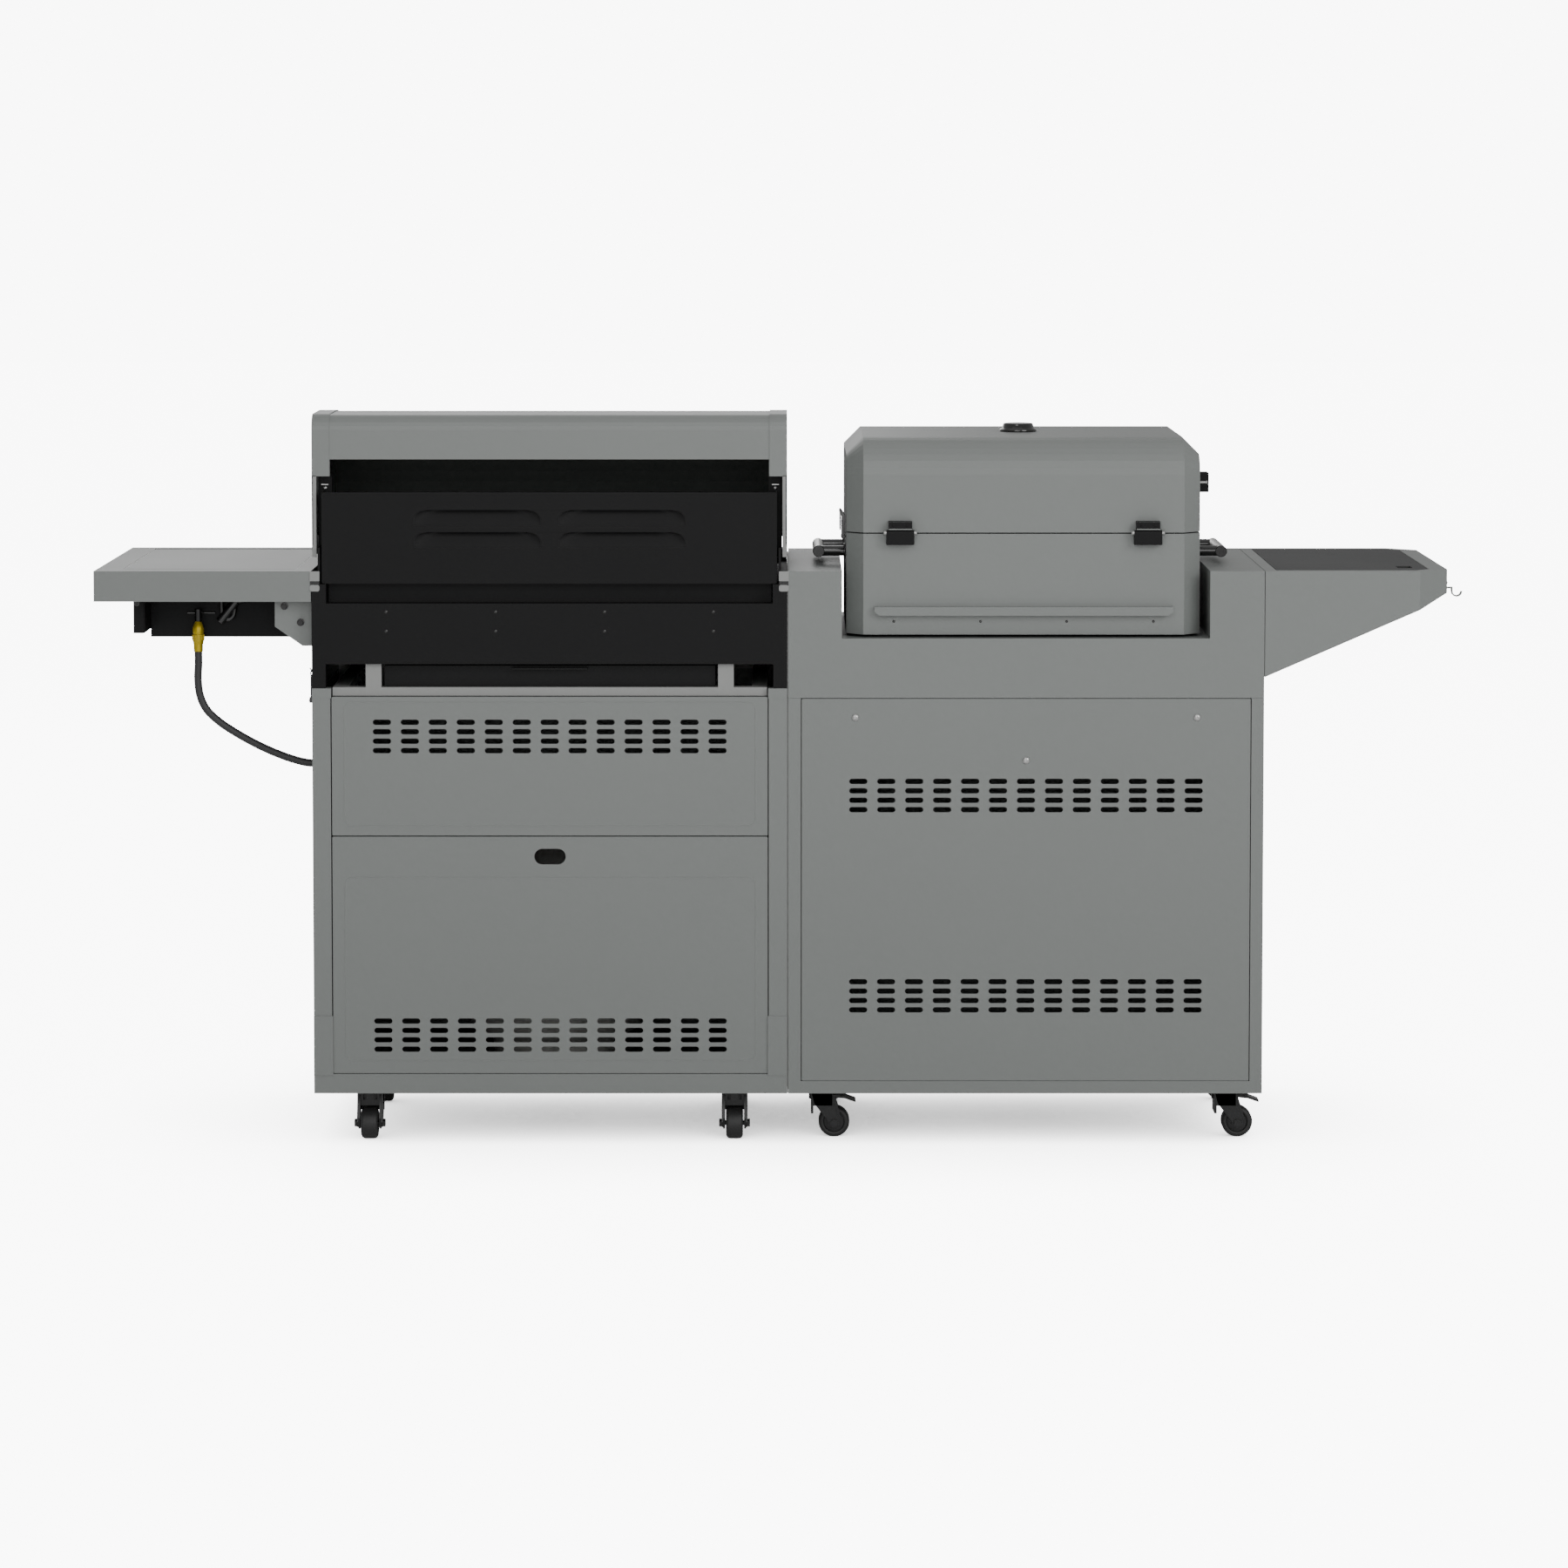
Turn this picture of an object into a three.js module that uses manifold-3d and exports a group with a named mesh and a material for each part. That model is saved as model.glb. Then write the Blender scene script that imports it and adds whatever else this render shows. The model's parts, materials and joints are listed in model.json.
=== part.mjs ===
// A two-cart outdoor kitchen: a gas grill cart with a side-burner shelf, and a storage cabinet
// whose console carries a lift-off charcoal smoker, with a tapered tool bin at its end.
// Millimetres. X runs along the kitchen, the front faces -Y, +Z is up.
import * as THREE from "three";
import { mergeVertices } from "three/addons/utils/BufferGeometryUtils.js";
import Module from "manifold-3d";

const wasm = await Module();
wasm.setup();

// Overall sizes. While it is built, X is 0 on the seam between the carts and Y is 0 on the rear faces.
const grillWidth = 760;
const cabinetWidth = 761;
const bodyDepth = 472;
const seamGap = 2;
const workHeight = 925;
const baseHeight = 83;
const sheet = 2;
const fit = 0.3;

// Casters
const wheelDiameter = 50;
const wheelWidth = 27;
const wheelSides = 16;
const axleDiameter = 8;
const axleClearance = 0.4;
const casterTrail = 20;
const casterDepthInset = 75;
const grillCasterInset = 85;
const cabinetCasterInset = 54;
const casterPlateThickness = 4;

// Grill cart
const baseRailHeight = 31.5;
const postWidth = 29.4;
const postLip = 20;
const cartTop = 722;
const postCapTop = 737;
const backPanelGap = 1.6;
const backPanelSplit = 499;
const backPanelTop = 724;
const backPanelReturn = 12;
const handHoleWidth = 50;
const handHoleHeight = 25;
const handHoleZ = 466;
const cornerPlateHeight = 94;
const cornerPlateProud = 1.5;

// Vent slots, shared by the rear panels of both carts
const ventColumns = 13;
const ventRows = 4;
const ventPitchX = 44.75;
const ventPitchZ = 15.2;
const ventWidth = 29;
const ventHeight = 8.4;
const grillUpperVentZ = 659.6;
const grillLowerVentZ = 177.3;
const cabinetUpperVentZ = 564.5;
const cabinetLowerVentZ = 241;

// Doors
const doorThickness = 16;
const doorGap = 4;
const doorSeam = 3;
const doorPivotInset = doorThickness / 2;
const doorBottom = 90;
const grillDoorTop = 732;
const cabinetDoorTop = 716;
const doorStile = 5;
const hingePinRadius = 3;
const hingeTab = 1.5;
const doorHandleLength = 180;
const doorHandleReach = 30;
const doorHandleRadius = 6;

// Firebox, its skirt and its rear shield
const skirtBottom = 776;
const skirtTop = 873;
const skirtPostTop = 904;
const skirtPostWidth = 23;
const skirtLegWidth = 22;
const fireboxInset = 25;
const fireboxRearInset = 30;
const fireboxTop = 938;
const fireboxBottom = 780;
const fireboxWall = 3;
const rimWidth = 13;
const grateLedge = 6.5;
const grateLedgeZ = 900;
const shieldInset = 14;
const shieldTop = 1051;
const shieldSetback = 3;
const shieldEarDepth = 105;
const louverWidth = 196;
const louverHeight = 8;
const louverOffset = 115.5;
const louverZ = [965, 998];
const hoodPivotY = -60;
const hoodPivotZ = 985;

// Hood
const hoodBottom = 946;
const hoodTop = 1175;
const hoodRearY = -14;
const hoodFrontY = -460;
const hoodWall = 3;
const hoodCapWidth = 28;
const hoodCapProud = 1.5;
const hoodRearRadius = 25;
const hoodRearOpening = 1103;
const hoodCapOpening = 1076;
const hoodTopFlat = 111;
const hoodHandleRadius = 11;
const hoodHandleLength = 500;
const hoodHandleReach = 48;
const hoodHandleZ = 1000;

// Control panel and burners
const panelBottomY = -bodyDepth - 64;
const panelBottomZ = 752;
const panelTopY = -bodyDepth - 44;
const panelTopZ = 905;
const panelLedgeY = -bodyDepth - 28;
const knobCount = 4;
const knobPitch = 150;
const knobRadius = 27;
const knobHeight = 34;
const knobZ = 828;
const stemRadius = 4;
const stemLength = 36;
const manifoldRadius = 9;
const burnerRadius = 13;
const burnerHole = 16;

// Cradle and grease tray
const cradleBottom = 724.5;
const cradleTop = 738;
const cradleBracketWidth = 25;
const cradleBracketOffset = 282;
const trayClearance = 4.5;
const trayTop = 772;
const trayDepth = 400;

// Side shelf
const shelfLength = 347;
const shelfDepth = 488;
const shelfSkirt = 49;
const shelfGap = 1;
const lidInnerBorder = 25;
const lidOuterBorder = 42;
const lidEdgeBorder = 36;
const lidThickness = 12;
const lidGap = 2.5;
const burnerPanBottom = 820;
const burnerPanRear = -140;
const burnerPanFront = -420;
const bracketReach = 60;
const bracketBottom = 803;

// Gas cylinder
const cylinderRadius = 152;
const cylinderWall = 3;
const valveBore = 6;

// Console, cabinet and bin
const consoleBottom = 721.5;
const consoleWall = 3;
const troughNear = 85.5;
const troughWidth = 588.5;
const troughFloor = 817;
const cabinetStrip = 20;
const cabinetLip = 16;
const binLength = 295;
const binGap = 1;
const binWall = 3;
const binEndHeight = 38;
const binShoulder = 47;
const binShoulderZ = 863;
const binRootZ = 755;
const binCorner = 48;
const binCornerDepth = 38;
const boardInset = 20;
const boardEndInset = 30;
const boardThickness = 15;
const boardCorner = 24;
const boardClearance = 1.2;
const boardLedge = 12;

// Smoker
const smokerWidth = 567.5;
const smokerSideGap = 7.5;
const smokerRearInset = 18;
const smokerDepth = 430;
const smokerChamfer = 27;
const smokerWall = 2.5;
const smokerFoot = 4.5;
const smokerSeam = 984.5;
const smokerSeamGap = 2;
const smokerTop = 1136;
const smokerShoulder = 58;
const smokerPivotY = -6;
const smokerPivotZ = 986;
const smokerHingeOffset = 198;
const smokerHingePlate = 44;
const smokerHingeLeaf = 37;
const ledgeHalf = 239;
const ledgeBottom = 853;
const ledgeHeight = 14;
const ventCapRadius = 30.5;
const ventCapTopRadius = 24;
const ventCapHeight = 13.5;
const ventHoleRadius = 16;
const carryBarRadius = 9.5;
const carryBarLength = 165;
const carryPostRadius = 8.5;
const carryPostSpacing = 140;
const carryReach = 44;
const carryZ = 945;

// Gas hose
const hoseRadius = 6.35;
const hoseSides = 8;
const hoseSteps = 14;
const hosePoints = [
  [956, -120, 784], [956, -120, 764], [957, -120, 740], [954, -120, 714], [944, -120, 691],
  [924, -120, 671], [896, -120, 652], [860, -120, 632], [824, -120, 616], [797, -120, 607],
  [779, -120, 603], [765.6, -120, 603],
];
const fittingRadius = 9.5;
const grommetRadius = 11.7;
const grommetFlange = 15;

// Places worked out from the sizes
const grillInner = seamGap / 2;
const grillOuter = grillInner + grillWidth;
const grillCentre = (grillInner + grillOuter) / 2;
const cabinetInner = -seamGap / 2;
const cabinetOuter = cabinetInner - cabinetWidth;
const cabinetCentre = (cabinetInner + cabinetOuter) / 2;
const middleY = -bodyDepth / 2;
const baseRailTop = baseHeight + baseRailHeight;
const smokerInner = cabinetInner - troughNear - smokerSideGap;
const smokerOuter = smokerInner - smokerWidth;
const smokerCentre = (smokerInner + smokerOuter) / 2;
const smokerRear = -smokerRearInset;
const smokerFront = smokerRear - smokerDepth;
const smokerBottom = troughFloor + fit + smokerFoot;
const shelfInner = grillOuter + shelfGap;
const shelfOuter = shelfInner + shelfLength;
const doorPivotY = -bodyDepth - doorGap - doorThickness / 2;

const gray = new THREE.MeshStandardMaterial({ color: 0x808381, roughness: 0.45, metalness: 0.1 });
const black = new THREE.MeshStandardMaterial({ color: 0x242424, roughness: 0.5, metalness: 0.1 });
const plastic = new THREE.MeshStandardMaterial({ color: 0x181818, roughness: 0.35, metalness: 0 });
const steel = new THREE.MeshStandardMaterial({ color: 0xb8b8b6, roughness: 0.3, metalness: 1 });
const iron = new THREE.MeshStandardMaterial({ color: 0x1c1c1c, roughness: 0.75, metalness: 0.3 });
const rubber = new THREE.MeshStandardMaterial({ color: 0x3a3a3a, roughness: 0.6, metalness: 0 });
const brass = new THREE.MeshStandardMaterial({ color: 0xc9a820, roughness: 0.4, metalness: 0.8 });
const tankPaint = new THREE.MeshStandardMaterial({ color: 0xc8c8c4, roughness: 0.4, metalness: 0.1 });

const group = new THREE.Group();

// A closed geometry as a solid that can be joined and cut
function solid(geometry) {
  geometry.deleteAttribute("normal");
  geometry.deleteAttribute("uv");
  const merged = mergeVertices(geometry, 1e-3);
  const corners = merged.index.array;
  const faces = [];
  for (let i = 0; i < corners.length; i += 3) {
    const [a, b, c] = [corners[i], corners[i + 1], corners[i + 2]];
    if (a !== b && b !== c && c !== a) faces.push(a, b, c);
  }
  const mesh = new wasm.Mesh({
    numProp: 3,
    vertProperties: merged.attributes.position.array,
    triVerts: Uint32Array.from(faces),
  });
  return new wasm.Manifold(mesh);
}

// A solid as a named mesh in the group
function addPiece(name, shape, material, parent = group) {
  const { vertProperties, triVerts } = shape.getMesh();
  const geometry = new THREE.BufferGeometry();
  geometry.setAttribute("position", new THREE.BufferAttribute(vertProperties, 3));
  geometry.setIndex(new THREE.BufferAttribute(triVerts, 1));
  geometry.computeVertexNormals();
  const mesh = new THREE.Mesh(geometry, material);
  mesh.name = name;
  parent.add(mesh);
  return mesh;
}

function joined(pieces) {
  return pieces.reduce((whole, piece) => whole.add(piece));
}

// A box between two values on each axis, given in any order
function block(xa, xb, ya, yb, za, zb) {
  const box = new THREE.BoxGeometry(Math.abs(xb - xa), Math.abs(yb - ya), Math.abs(zb - za));
  box.translate((xa + xb) / 2, (ya + yb) / 2, (za + zb) / 2);
  return solid(box);
}

const axes = {
  x: new THREE.Matrix4().makeBasis(
    new THREE.Vector3(0, 1, 0), new THREE.Vector3(0, 0, 1), new THREE.Vector3(1, 0, 0)),
  y: new THREE.Matrix4().makeBasis(
    new THREE.Vector3(1, 0, 0), new THREE.Vector3(0, 0, 1), new THREE.Vector3(0, -1, 0)),
  z: new THREE.Matrix4(),
};

// An outline drawn across an axis (YZ, XZ or XY) and extruded along it
function prism(axis, outline, from, to) {
  const shape = new THREE.Shape(outline.map(([u, v]) => new THREE.Vector2(u, v)));
  const geometry = new THREE.ExtrudeGeometry(shape, { depth: to - from, bevelEnabled: false });
  geometry.applyMatrix4(axes[axis]);
  if (axis === "x") geometry.translate(from, 0, 0);
  if (axis === "y") geometry.translate(0, to, 0);
  if (axis === "z") geometry.translate(0, 0, from);
  return solid(geometry);
}

function circle(u, v, radius, sides) {
  const points = [];
  for (let i = 0; i < sides; i++) {
    const angle = (2 * Math.PI * (i + 0.5)) / sides;
    points.push([u + radius * Math.cos(angle), v + radius * Math.sin(angle)]);
  }
  return points;
}

// Points of an arc, with angles in degrees
function arc(u, v, radiusU, radiusV, start, end, steps) {
  const points = [];
  for (let i = 0; i <= steps; i++) {
    const angle = THREE.MathUtils.degToRad(start + ((end - start) * i) / steps);
    points.push([u + radiusU * Math.cos(angle), v + radiusV * Math.sin(angle)]);
  }
  return points;
}

function rod(axis, u, v, radius, from, to, sides = 8) {
  return prism(axis, circle(u, v, radius, sides), from, to);
}

// A profile of radius and height turned about a vertical axis
function turned(profile, x, y, z, sides = 24) {
  const geometry = new THREE.LatheGeometry(profile.map(([r, h]) => new THREE.Vector2(r, h)), sides);
  geometry.rotateX(Math.PI / 2);
  geometry.translate(x, y, z);
  return solid(geometry);
}

// An open tray: a block with a smaller block taken out of one side
function hollow(outer, inner) {
  return block(...outer).subtract(block(...inner));
}

// Casters: the fork swivels about its own vertical axis and the wheel trails behind it
function casterFork(pedal) {
  const axleZ = wheelDiameter / 2;
  const legInside = wheelWidth / 2 + 2;
  const legThickness = 3;
  const top = baseHeight - casterPlateThickness - fit;
  const leg = [
    [-17, 70], [20, 70], [casterTrail + 11, 34], [casterTrail + 9, 20], [casterTrail, 15],
    [casterTrail - 9, 20], [casterTrail - 11, 34],
  ];
  const pieces = [
    rod("z", 0, 0, 21.5, 62, top, 12),
    prism("x", leg, legInside, legInside + legThickness),
    prism("x", leg, -legInside - legThickness, -legInside),
    rod("x", casterTrail, axleZ, axleDiameter / 2, -legInside - 1, legInside + 1),
    rod("x", casterTrail, axleZ, 6.5, legInside + 1, 25, 6),
    rod("x", casterTrail, axleZ, 6.5, -25, -legInside - 1, 6),
  ];
  if (pedal) {
    pieces.push(prism("x", [[10, 66], [38, 63], [55, 57], [55, 60.5], [38, 67], [10, 70]], -13, 13));
  }
  return joined(pieces);
}

function casterWheel() {
  const half = wheelWidth / 2;
  const rim = wheelDiameter / 2;
  const bore = axleDiameter / 2 + axleClearance;
  const profile = [
    [bore, -half], [rim - 3.5, -half], [rim, -half + 3.5], [rim, half - 3.5], [rim - 3.5, half],
    [bore, half], [bore, -half],
  ];
  const geometry = new THREE.LatheGeometry(profile.map(([r, h]) => new THREE.Vector2(r, h)), wheelSides);
  geometry.rotateZ(-Math.PI / 2);
  return solid(geometry);
}

function addCaster(place, x, y, turn, pedal) {
  const caster = new THREE.Group();
  caster.position.set(x, y, 0);
  caster.rotation.z = turn;
  group.add(caster);
  addPiece(`caster_fork_${place}`, casterFork(pedal), black, caster);
  const wheel = addPiece(`caster_wheel_${place}`, casterWheel(), plastic, caster);
  wheel.position.set(0, casterTrail, wheelDiameter / 2);
}

function addCasters() {
  const rows = { rear: -casterDepthInset, front: -bodyDepth + casterDepthInset };
  for (const [row, y] of Object.entries(rows)) {
    addCaster(`grill_outer_${row}`, grillOuter - grillCasterInset, y, 0, false);
    addCaster(`grill_inner_${row}`, grillInner + grillCasterInset, y, 0, false);
    addCaster(`cabinet_inner_${row}`, cabinetInner - cabinetCasterInset, y, Math.PI / 2, true);
    addCaster(`cabinet_outer_${row}`, cabinetOuter + cabinetCasterInset, y, Math.PI / 2, true);
  }
}

// The plan of a side panel folded from sheet: the wall, a strip on its rear and front edges and
// a lip on each strip. The wall stands at x and the strips run along the given direction.
function foldedSide(x, direction, strip, lip, bottom, top) {
  const at = (distance) => x + direction * distance;
  const wall = block(at(0), at(sheet), -bodyDepth, 0, bottom, top);
  const rear = block(at(0), at(strip), -sheet, 0, bottom, top);
  const front = block(at(0), at(strip), -bodyDepth, -bodyDepth + sheet, bottom, top);
  const rearLip = block(at(strip - sheet), at(strip), -lip, 0, bottom, top);
  const frontLip = block(at(strip - sheet), at(strip), -bodyDepth, -bodyDepth + lip, bottom, top);
  return joined([wall, rear, front, rearLip, frontLip]);
}

// A tray-shaped base, open underneath
function basePan(x0, x1, height) {
  return hollow(
    [x0, x1, -bodyDepth, 0, baseHeight, baseHeight + height],
    [x0 + sheet, x1 - sheet, -bodyDepth + sheet, -sheet, baseHeight - 1, baseHeight + height - sheet],
  );
}

// Tabs that hold a door's two hinge pins
function hingeTabs(pivotX, doorTop) {
  const reach = doorPivotY - 8;
  const low = doorBottom - hingePinRadius - hingeTab;
  const high = doorTop + hingePinRadius;
  return block(pivotX - 7, pivotX + 7, reach, -bodyDepth + 1, low - fit, low + hingeTab - fit)
    .add(block(pivotX - 7, pivotX + 7, reach, -bodyDepth + 1, high + fit, high + hingeTab + fit));
}

function grillCartFrame() {
  const base = basePan(grillInner, grillOuter, baseRailHeight);
  const low = baseRailTop - sheet;
  const outerSide = foldedSide(grillOuter, -1, postWidth, postLip, low, cartTop);
  const innerSide = foldedSide(grillInner, 1, postWidth, postLip, low, cartTop);
  const pieces = [base, outerSide, innerSide];
  for (const [x, direction] of [[grillOuter, -1], [grillInner, 1]]) {
    const end = x + direction * (postWidth + 1);
    pieces.push(block(x, end, -postLip, 0.8, cartTop - 1, postCapTop));
    pieces.push(block(x, end, -bodyDepth, -bodyDepth + postLip, cartTop - 1, postCapTop));
    const plate = x + direction * (postWidth + 1.6);
    pieces.push(block(x, plate, -1, cornerPlateProud, low, baseRailTop + cornerPlateHeight));
    pieces.push(hingeTabs(x + direction * doorPivotInset, grillDoorTop));
  }
  const railEnd = postWidth + sheet;
  pieces.push(block(grillInner + railEnd - 4, grillOuter - railEnd + 4,
    -bodyDepth, -bodyDepth + sheet, cartTop - 24, cartTop));
  pieces.push(rod("z", grillCentre, middleY, 32, baseHeight - 7, baseRailTop - 1, 16));
  const hoseHole = rod("x", hosePoints.at(-1)[1], hosePoints.at(-1)[2], grommetRadius + fit,
    grillOuter - 2 * sheet, grillOuter + 1, 16);
  return joined(pieces).subtract(hoseHole);
}

// A rear panel with returns on all four sides and blocks of vent slots
function ventPanel(x0, x1, z0, z1, ventHeights) {
  const face = -1;
  let panel = hollow(
    [x0, x1, face - backPanelReturn, face, z0, z1],
    [x0 + sheet, x1 - sheet, face - backPanelReturn - 1, face - sheet, z0 + sheet, z1 - sheet],
  );
  const centre = (x0 + x1) / 2;
  const slots = [];
  for (const middle of ventHeights) {
    for (let row = 0; row < ventRows; row++) {
      for (let column = 0; column < ventColumns; column++) {
        const x = centre + (column - (ventColumns - 1) / 2) * ventPitchX;
        const z = middle + (row - (ventRows - 1) / 2) * ventPitchZ;
        slots.push(block(x - ventWidth / 2, x + ventWidth / 2, face - 2 * sheet, face + 1,
          z - ventHeight / 2, z + ventHeight / 2));
      }
    }
  }
  for (const slot of slots) panel = panel.subtract(slot);
  return panel;
}

function grillBackUpper() {
  const edge = postWidth + backPanelGap;
  return ventPanel(grillInner + edge, grillOuter - edge, backPanelSplit + backPanelGap / 2,
    backPanelTop - backPanelGap / 2, [grillUpperVentZ]);
}

function grillBackLower() {
  const edge = postWidth + backPanelGap;
  const panel = ventPanel(grillInner + edge, grillOuter - edge, baseRailTop + backPanelGap / 2,
    backPanelSplit - backPanelGap / 2, [grillLowerVentZ]);
  const half = (handHoleWidth - handHoleHeight) / 2;
  const radius = handHoleHeight / 2;
  const hole = [
    ...arc(grillCentre + half, handHoleZ, radius, radius, -90, 90, 6),
    ...arc(grillCentre - half, handHoleZ, radius, radius, 90, 270, 6),
  ];
  return panel.subtract(prism("y", hole, -3 * sheet, 1));
}

function cabinetCarcass() {
  const top = consoleBottom - fit;
  const pieces = [
    basePan(cabinetOuter, cabinetInner, cabinetStrip),
    foldedSide(cabinetInner, -1, cabinetStrip, cabinetLip, baseHeight, top),
    foldedSide(cabinetOuter, 1, cabinetStrip, cabinetLip, baseHeight, top),
    hingeTabs(cabinetInner - doorPivotInset, cabinetDoorTop),
    hingeTabs(cabinetOuter + doorPivotInset, cabinetDoorTop),
  ];
  return joined(pieces);
}

function cabinetBack() {
  const edge = cabinetStrip + 1.2;
  const floor = baseHeight + cabinetStrip + fit;
  return ventPanel(cabinetOuter + edge, cabinetInner - edge, floor, consoleBottom - 1.2,
    [cabinetUpperVentZ, cabinetLowerVentZ]);
}

// A door folded from sheet with a bar handle. Its hinge edge is a stile rounded about the pins, and
// the handle stands near the other edge.
function door(hingeX, endX, top) {
  const outside = -bodyDepth - doorGap;
  const face = outside - doorThickness;
  const inward = Math.sign(endX - hingeX);
  const pinX = hingeX + inward * doorPivotInset;
  const plan = [
    ...arc(pinX, doorPivotY, -inward * doorPivotInset, doorThickness / 2, -90, 90, 8),
    [endX, outside], [endX, face],
  ];
  const cavity = [pinX + inward * doorStile, endX - inward * sheet].sort((a, b) => a - b);
  const pan = prism("z", plan, doorBottom, top)
    .subtract(block(...cavity, face + sheet, outside + 1, doorBottom + sheet, top - sheet));
  const pins = rod("z", pinX, doorPivotY, hingePinRadius, top - 1, top + hingePinRadius)
    .add(rod("z", pinX, doorPivotY, hingePinRadius, doorBottom - hingePinRadius, doorBottom + 1));
  const handleX = endX - inward * 34;
  const handleTop = top - 70;
  const handleBottom = handleTop - doorHandleLength;
  const barY = face - doorHandleReach;
  const bar = rod("z", handleX, barY, doorHandleRadius, handleBottom, handleTop);
  const posts = [handleBottom + 20, handleTop - 20].map((z) =>
    rod("y", handleX, z, doorHandleRadius - 1, barY, face + 1));
  return joined([pan, pins, bar, ...posts]);
}

function addDoors() {
  const half = doorSeam / 2;
  addPiece("grill_door_outer", door(grillOuter, grillCentre + half, grillDoorTop), gray);
  addPiece("grill_door_inner", door(grillInner, grillCentre - half, grillDoorTop), gray);
  addPiece("cabinet_door_inner", door(cabinetInner, cabinetCentre + half, cabinetDoorTop), gray);
  addPiece("cabinet_door_outer", door(cabinetOuter, cabinetCentre - half, cabinetDoorTop), gray);
}

// The cradle that carries the firebox: a rail frame with four upright brackets
function grillCradle() {
  const end = postWidth + 3;
  const [x0, x1] = [grillInner + end, grillOuter - end];
  const frame = block(x0, x1, -bodyDepth + 10, -8, cradleBottom, cradleTop)
    .subtract(block(x0 + 24, x1 - 24, -bodyDepth + 32, -30, cradleBottom - 1, cradleTop + 1));
  const brackets = [];
  for (const side of [-1, 1]) {
    const x = grillCentre + side * cradleBracketOffset;
    for (const y of [-8, -bodyDepth + 32]) {
      brackets.push(block(x - cradleBracketWidth / 2, x + cradleBracketWidth / 2, y - 22, y,
        cradleTop - 1, skirtBottom - fit));
    }
  }
  return joined([frame, ...brackets]);
}

// The skirt: a box-section frame round the firebox, with a post at each end and a leg at each corner
function fireboxSkirt() {
  const front = -bodyDepth + sheet;
  const shell = hollow(
    [grillInner, grillOuter, front, 0, skirtBottom, skirtTop],
    [grillInner + sheet, grillOuter - sheet, front + sheet, -sheet, skirtBottom + sheet, skirtTop - sheet],
  );
  const throat = block(grillInner + fireboxInset - 1, grillOuter - fireboxInset + 1,
    -bodyDepth + fireboxRearInset - 1, -fireboxRearInset + 1, skirtBottom - 1, skirtTop + 1);
  let skirt = shell.subtract(throat);
  for (const [x, direction] of [[grillInner, 1], [grillOuter, -1]]) {
    const end = x + direction * skirtPostWidth;
    const [a, b] = [Math.min(x, end), Math.max(x, end)];
    const post = block(a, b, front, 0, skirtTop - 1, skirtPostTop);
    const postInside = block(a + sheet, b - sheet, front + sheet, -sheet, skirtTop - 2 * sheet,
      skirtPostTop - sheet);
    const leg = x + direction * skirtLegWidth;
    skirt = skirt.add(post).subtract(postInside)
      .add(block(x, leg, -postLip, 0, postCapTop + fit, skirtBottom + 1))
      .add(block(x, leg, front, front + postLip, postCapTop + fit, skirtBottom + 1));
  }
  for (const x of knobPlaces()) {
    skirt = skirt.subtract(rod("y", x, manifoldPlace().z, burnerHole, front - 1, -bodyDepth + 60, 16));
  }
  return skirt;
}

function firebox() {
  const [x0, x1] = [grillInner + fireboxInset, grillOuter - fireboxInset];
  const [y0, y1] = [-bodyDepth + fireboxRearInset, -fireboxRearInset];
  const rim = block(x0 - rimWidth, x1 + rimWidth, y0 - 8, y1 + 2, fireboxTop - fireboxWall, fireboxTop);
  const box = block(x0, x1, y0, y1, fireboxBottom, fireboxTop).add(rim);
  const inside = block(x0 + fireboxWall, x1 - fireboxWall, y0 + fireboxWall, y1 - fireboxWall,
    fireboxBottom + fireboxWall, fireboxTop + 1);
  const drain = block(grillCentre - 40, grillCentre + 40, middleY - 30, middleY + 30,
    fireboxBottom - 1, fireboxBottom + fireboxWall + 1);
  let shape = box.subtract(inside).subtract(drain);
  for (const [y, direction] of [[y0 + fireboxWall, 1], [y1 - fireboxWall, -1]]) {
    shape = shape.add(block(x0 + 1, x1 - 1, y - direction, y + direction * grateLedge,
      grateLedgeZ, grateLedgeZ + 7));
  }
  for (const x of knobPlaces()) {
    shape = shape.subtract(rod("y", x, manifoldPlace().z, burnerHole, y0 - 1, y0 + fireboxWall + 1, 16));
  }
  return shape;
}

// The rear heat shield with its two hinge ears and four louvres
function fireboxShield() {
  const [x0, x1] = [grillInner + shieldInset, grillOuter - shieldInset];
  const bottom = skirtPostTop + fit;
  const rear = -shieldSetback;
  let shield = block(x0, x1, rear - sheet, rear, bottom, shieldTop);
  for (const [x, direction] of [[x0, 1], [x1, -1]]) {
    const ear = block(x, x + direction * sheet, rear - shieldEarDepth, rear, fireboxTop + 4, shieldTop);
    const pin = [x - direction * (shieldInset - sheet - 1), x + direction * sheet];
    shield = shield.add(ear).add(
      rod("x", hoodPivotY, hoodPivotZ, 6, Math.min(...pin), Math.max(...pin)));
  }
  for (const side of [-1, 1]) {
    for (const z of louverZ) {
      const x = grillCentre + side * louverOffset;
      shield = shield.subtract(block(x - louverWidth / 2, x + louverWidth / 2, rear - 2 * sheet, rear + 1,
        z, z + louverHeight));
    }
  }
  return shield;
}

// The hood's side outline, drawn in Y and Z and moved in by the given amount
function hoodOutline(inset, bottom) {
  const rear = hoodRearY - inset;
  const front = hoodFrontY + inset;
  const top = hoodTop - inset;
  const radius = hoodRearRadius - inset;
  const crown = hoodRearY - hoodRearRadius - hoodTopFlat;
  const lowCorner = 20;
  return [
    [rear - lowCorner, bottom],
    ...arc(rear - lowCorner, bottom + lowCorner, lowCorner, lowCorner, -60, 0, 3),
    ...arc(rear - radius, top - radius, radius, radius, 0, 90, 6),
    ...arc(crown, hoodBottom + 14, crown - front, top - hoodBottom - 14, 90, 180, 16),
    [front, bottom],
  ];
}

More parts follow.
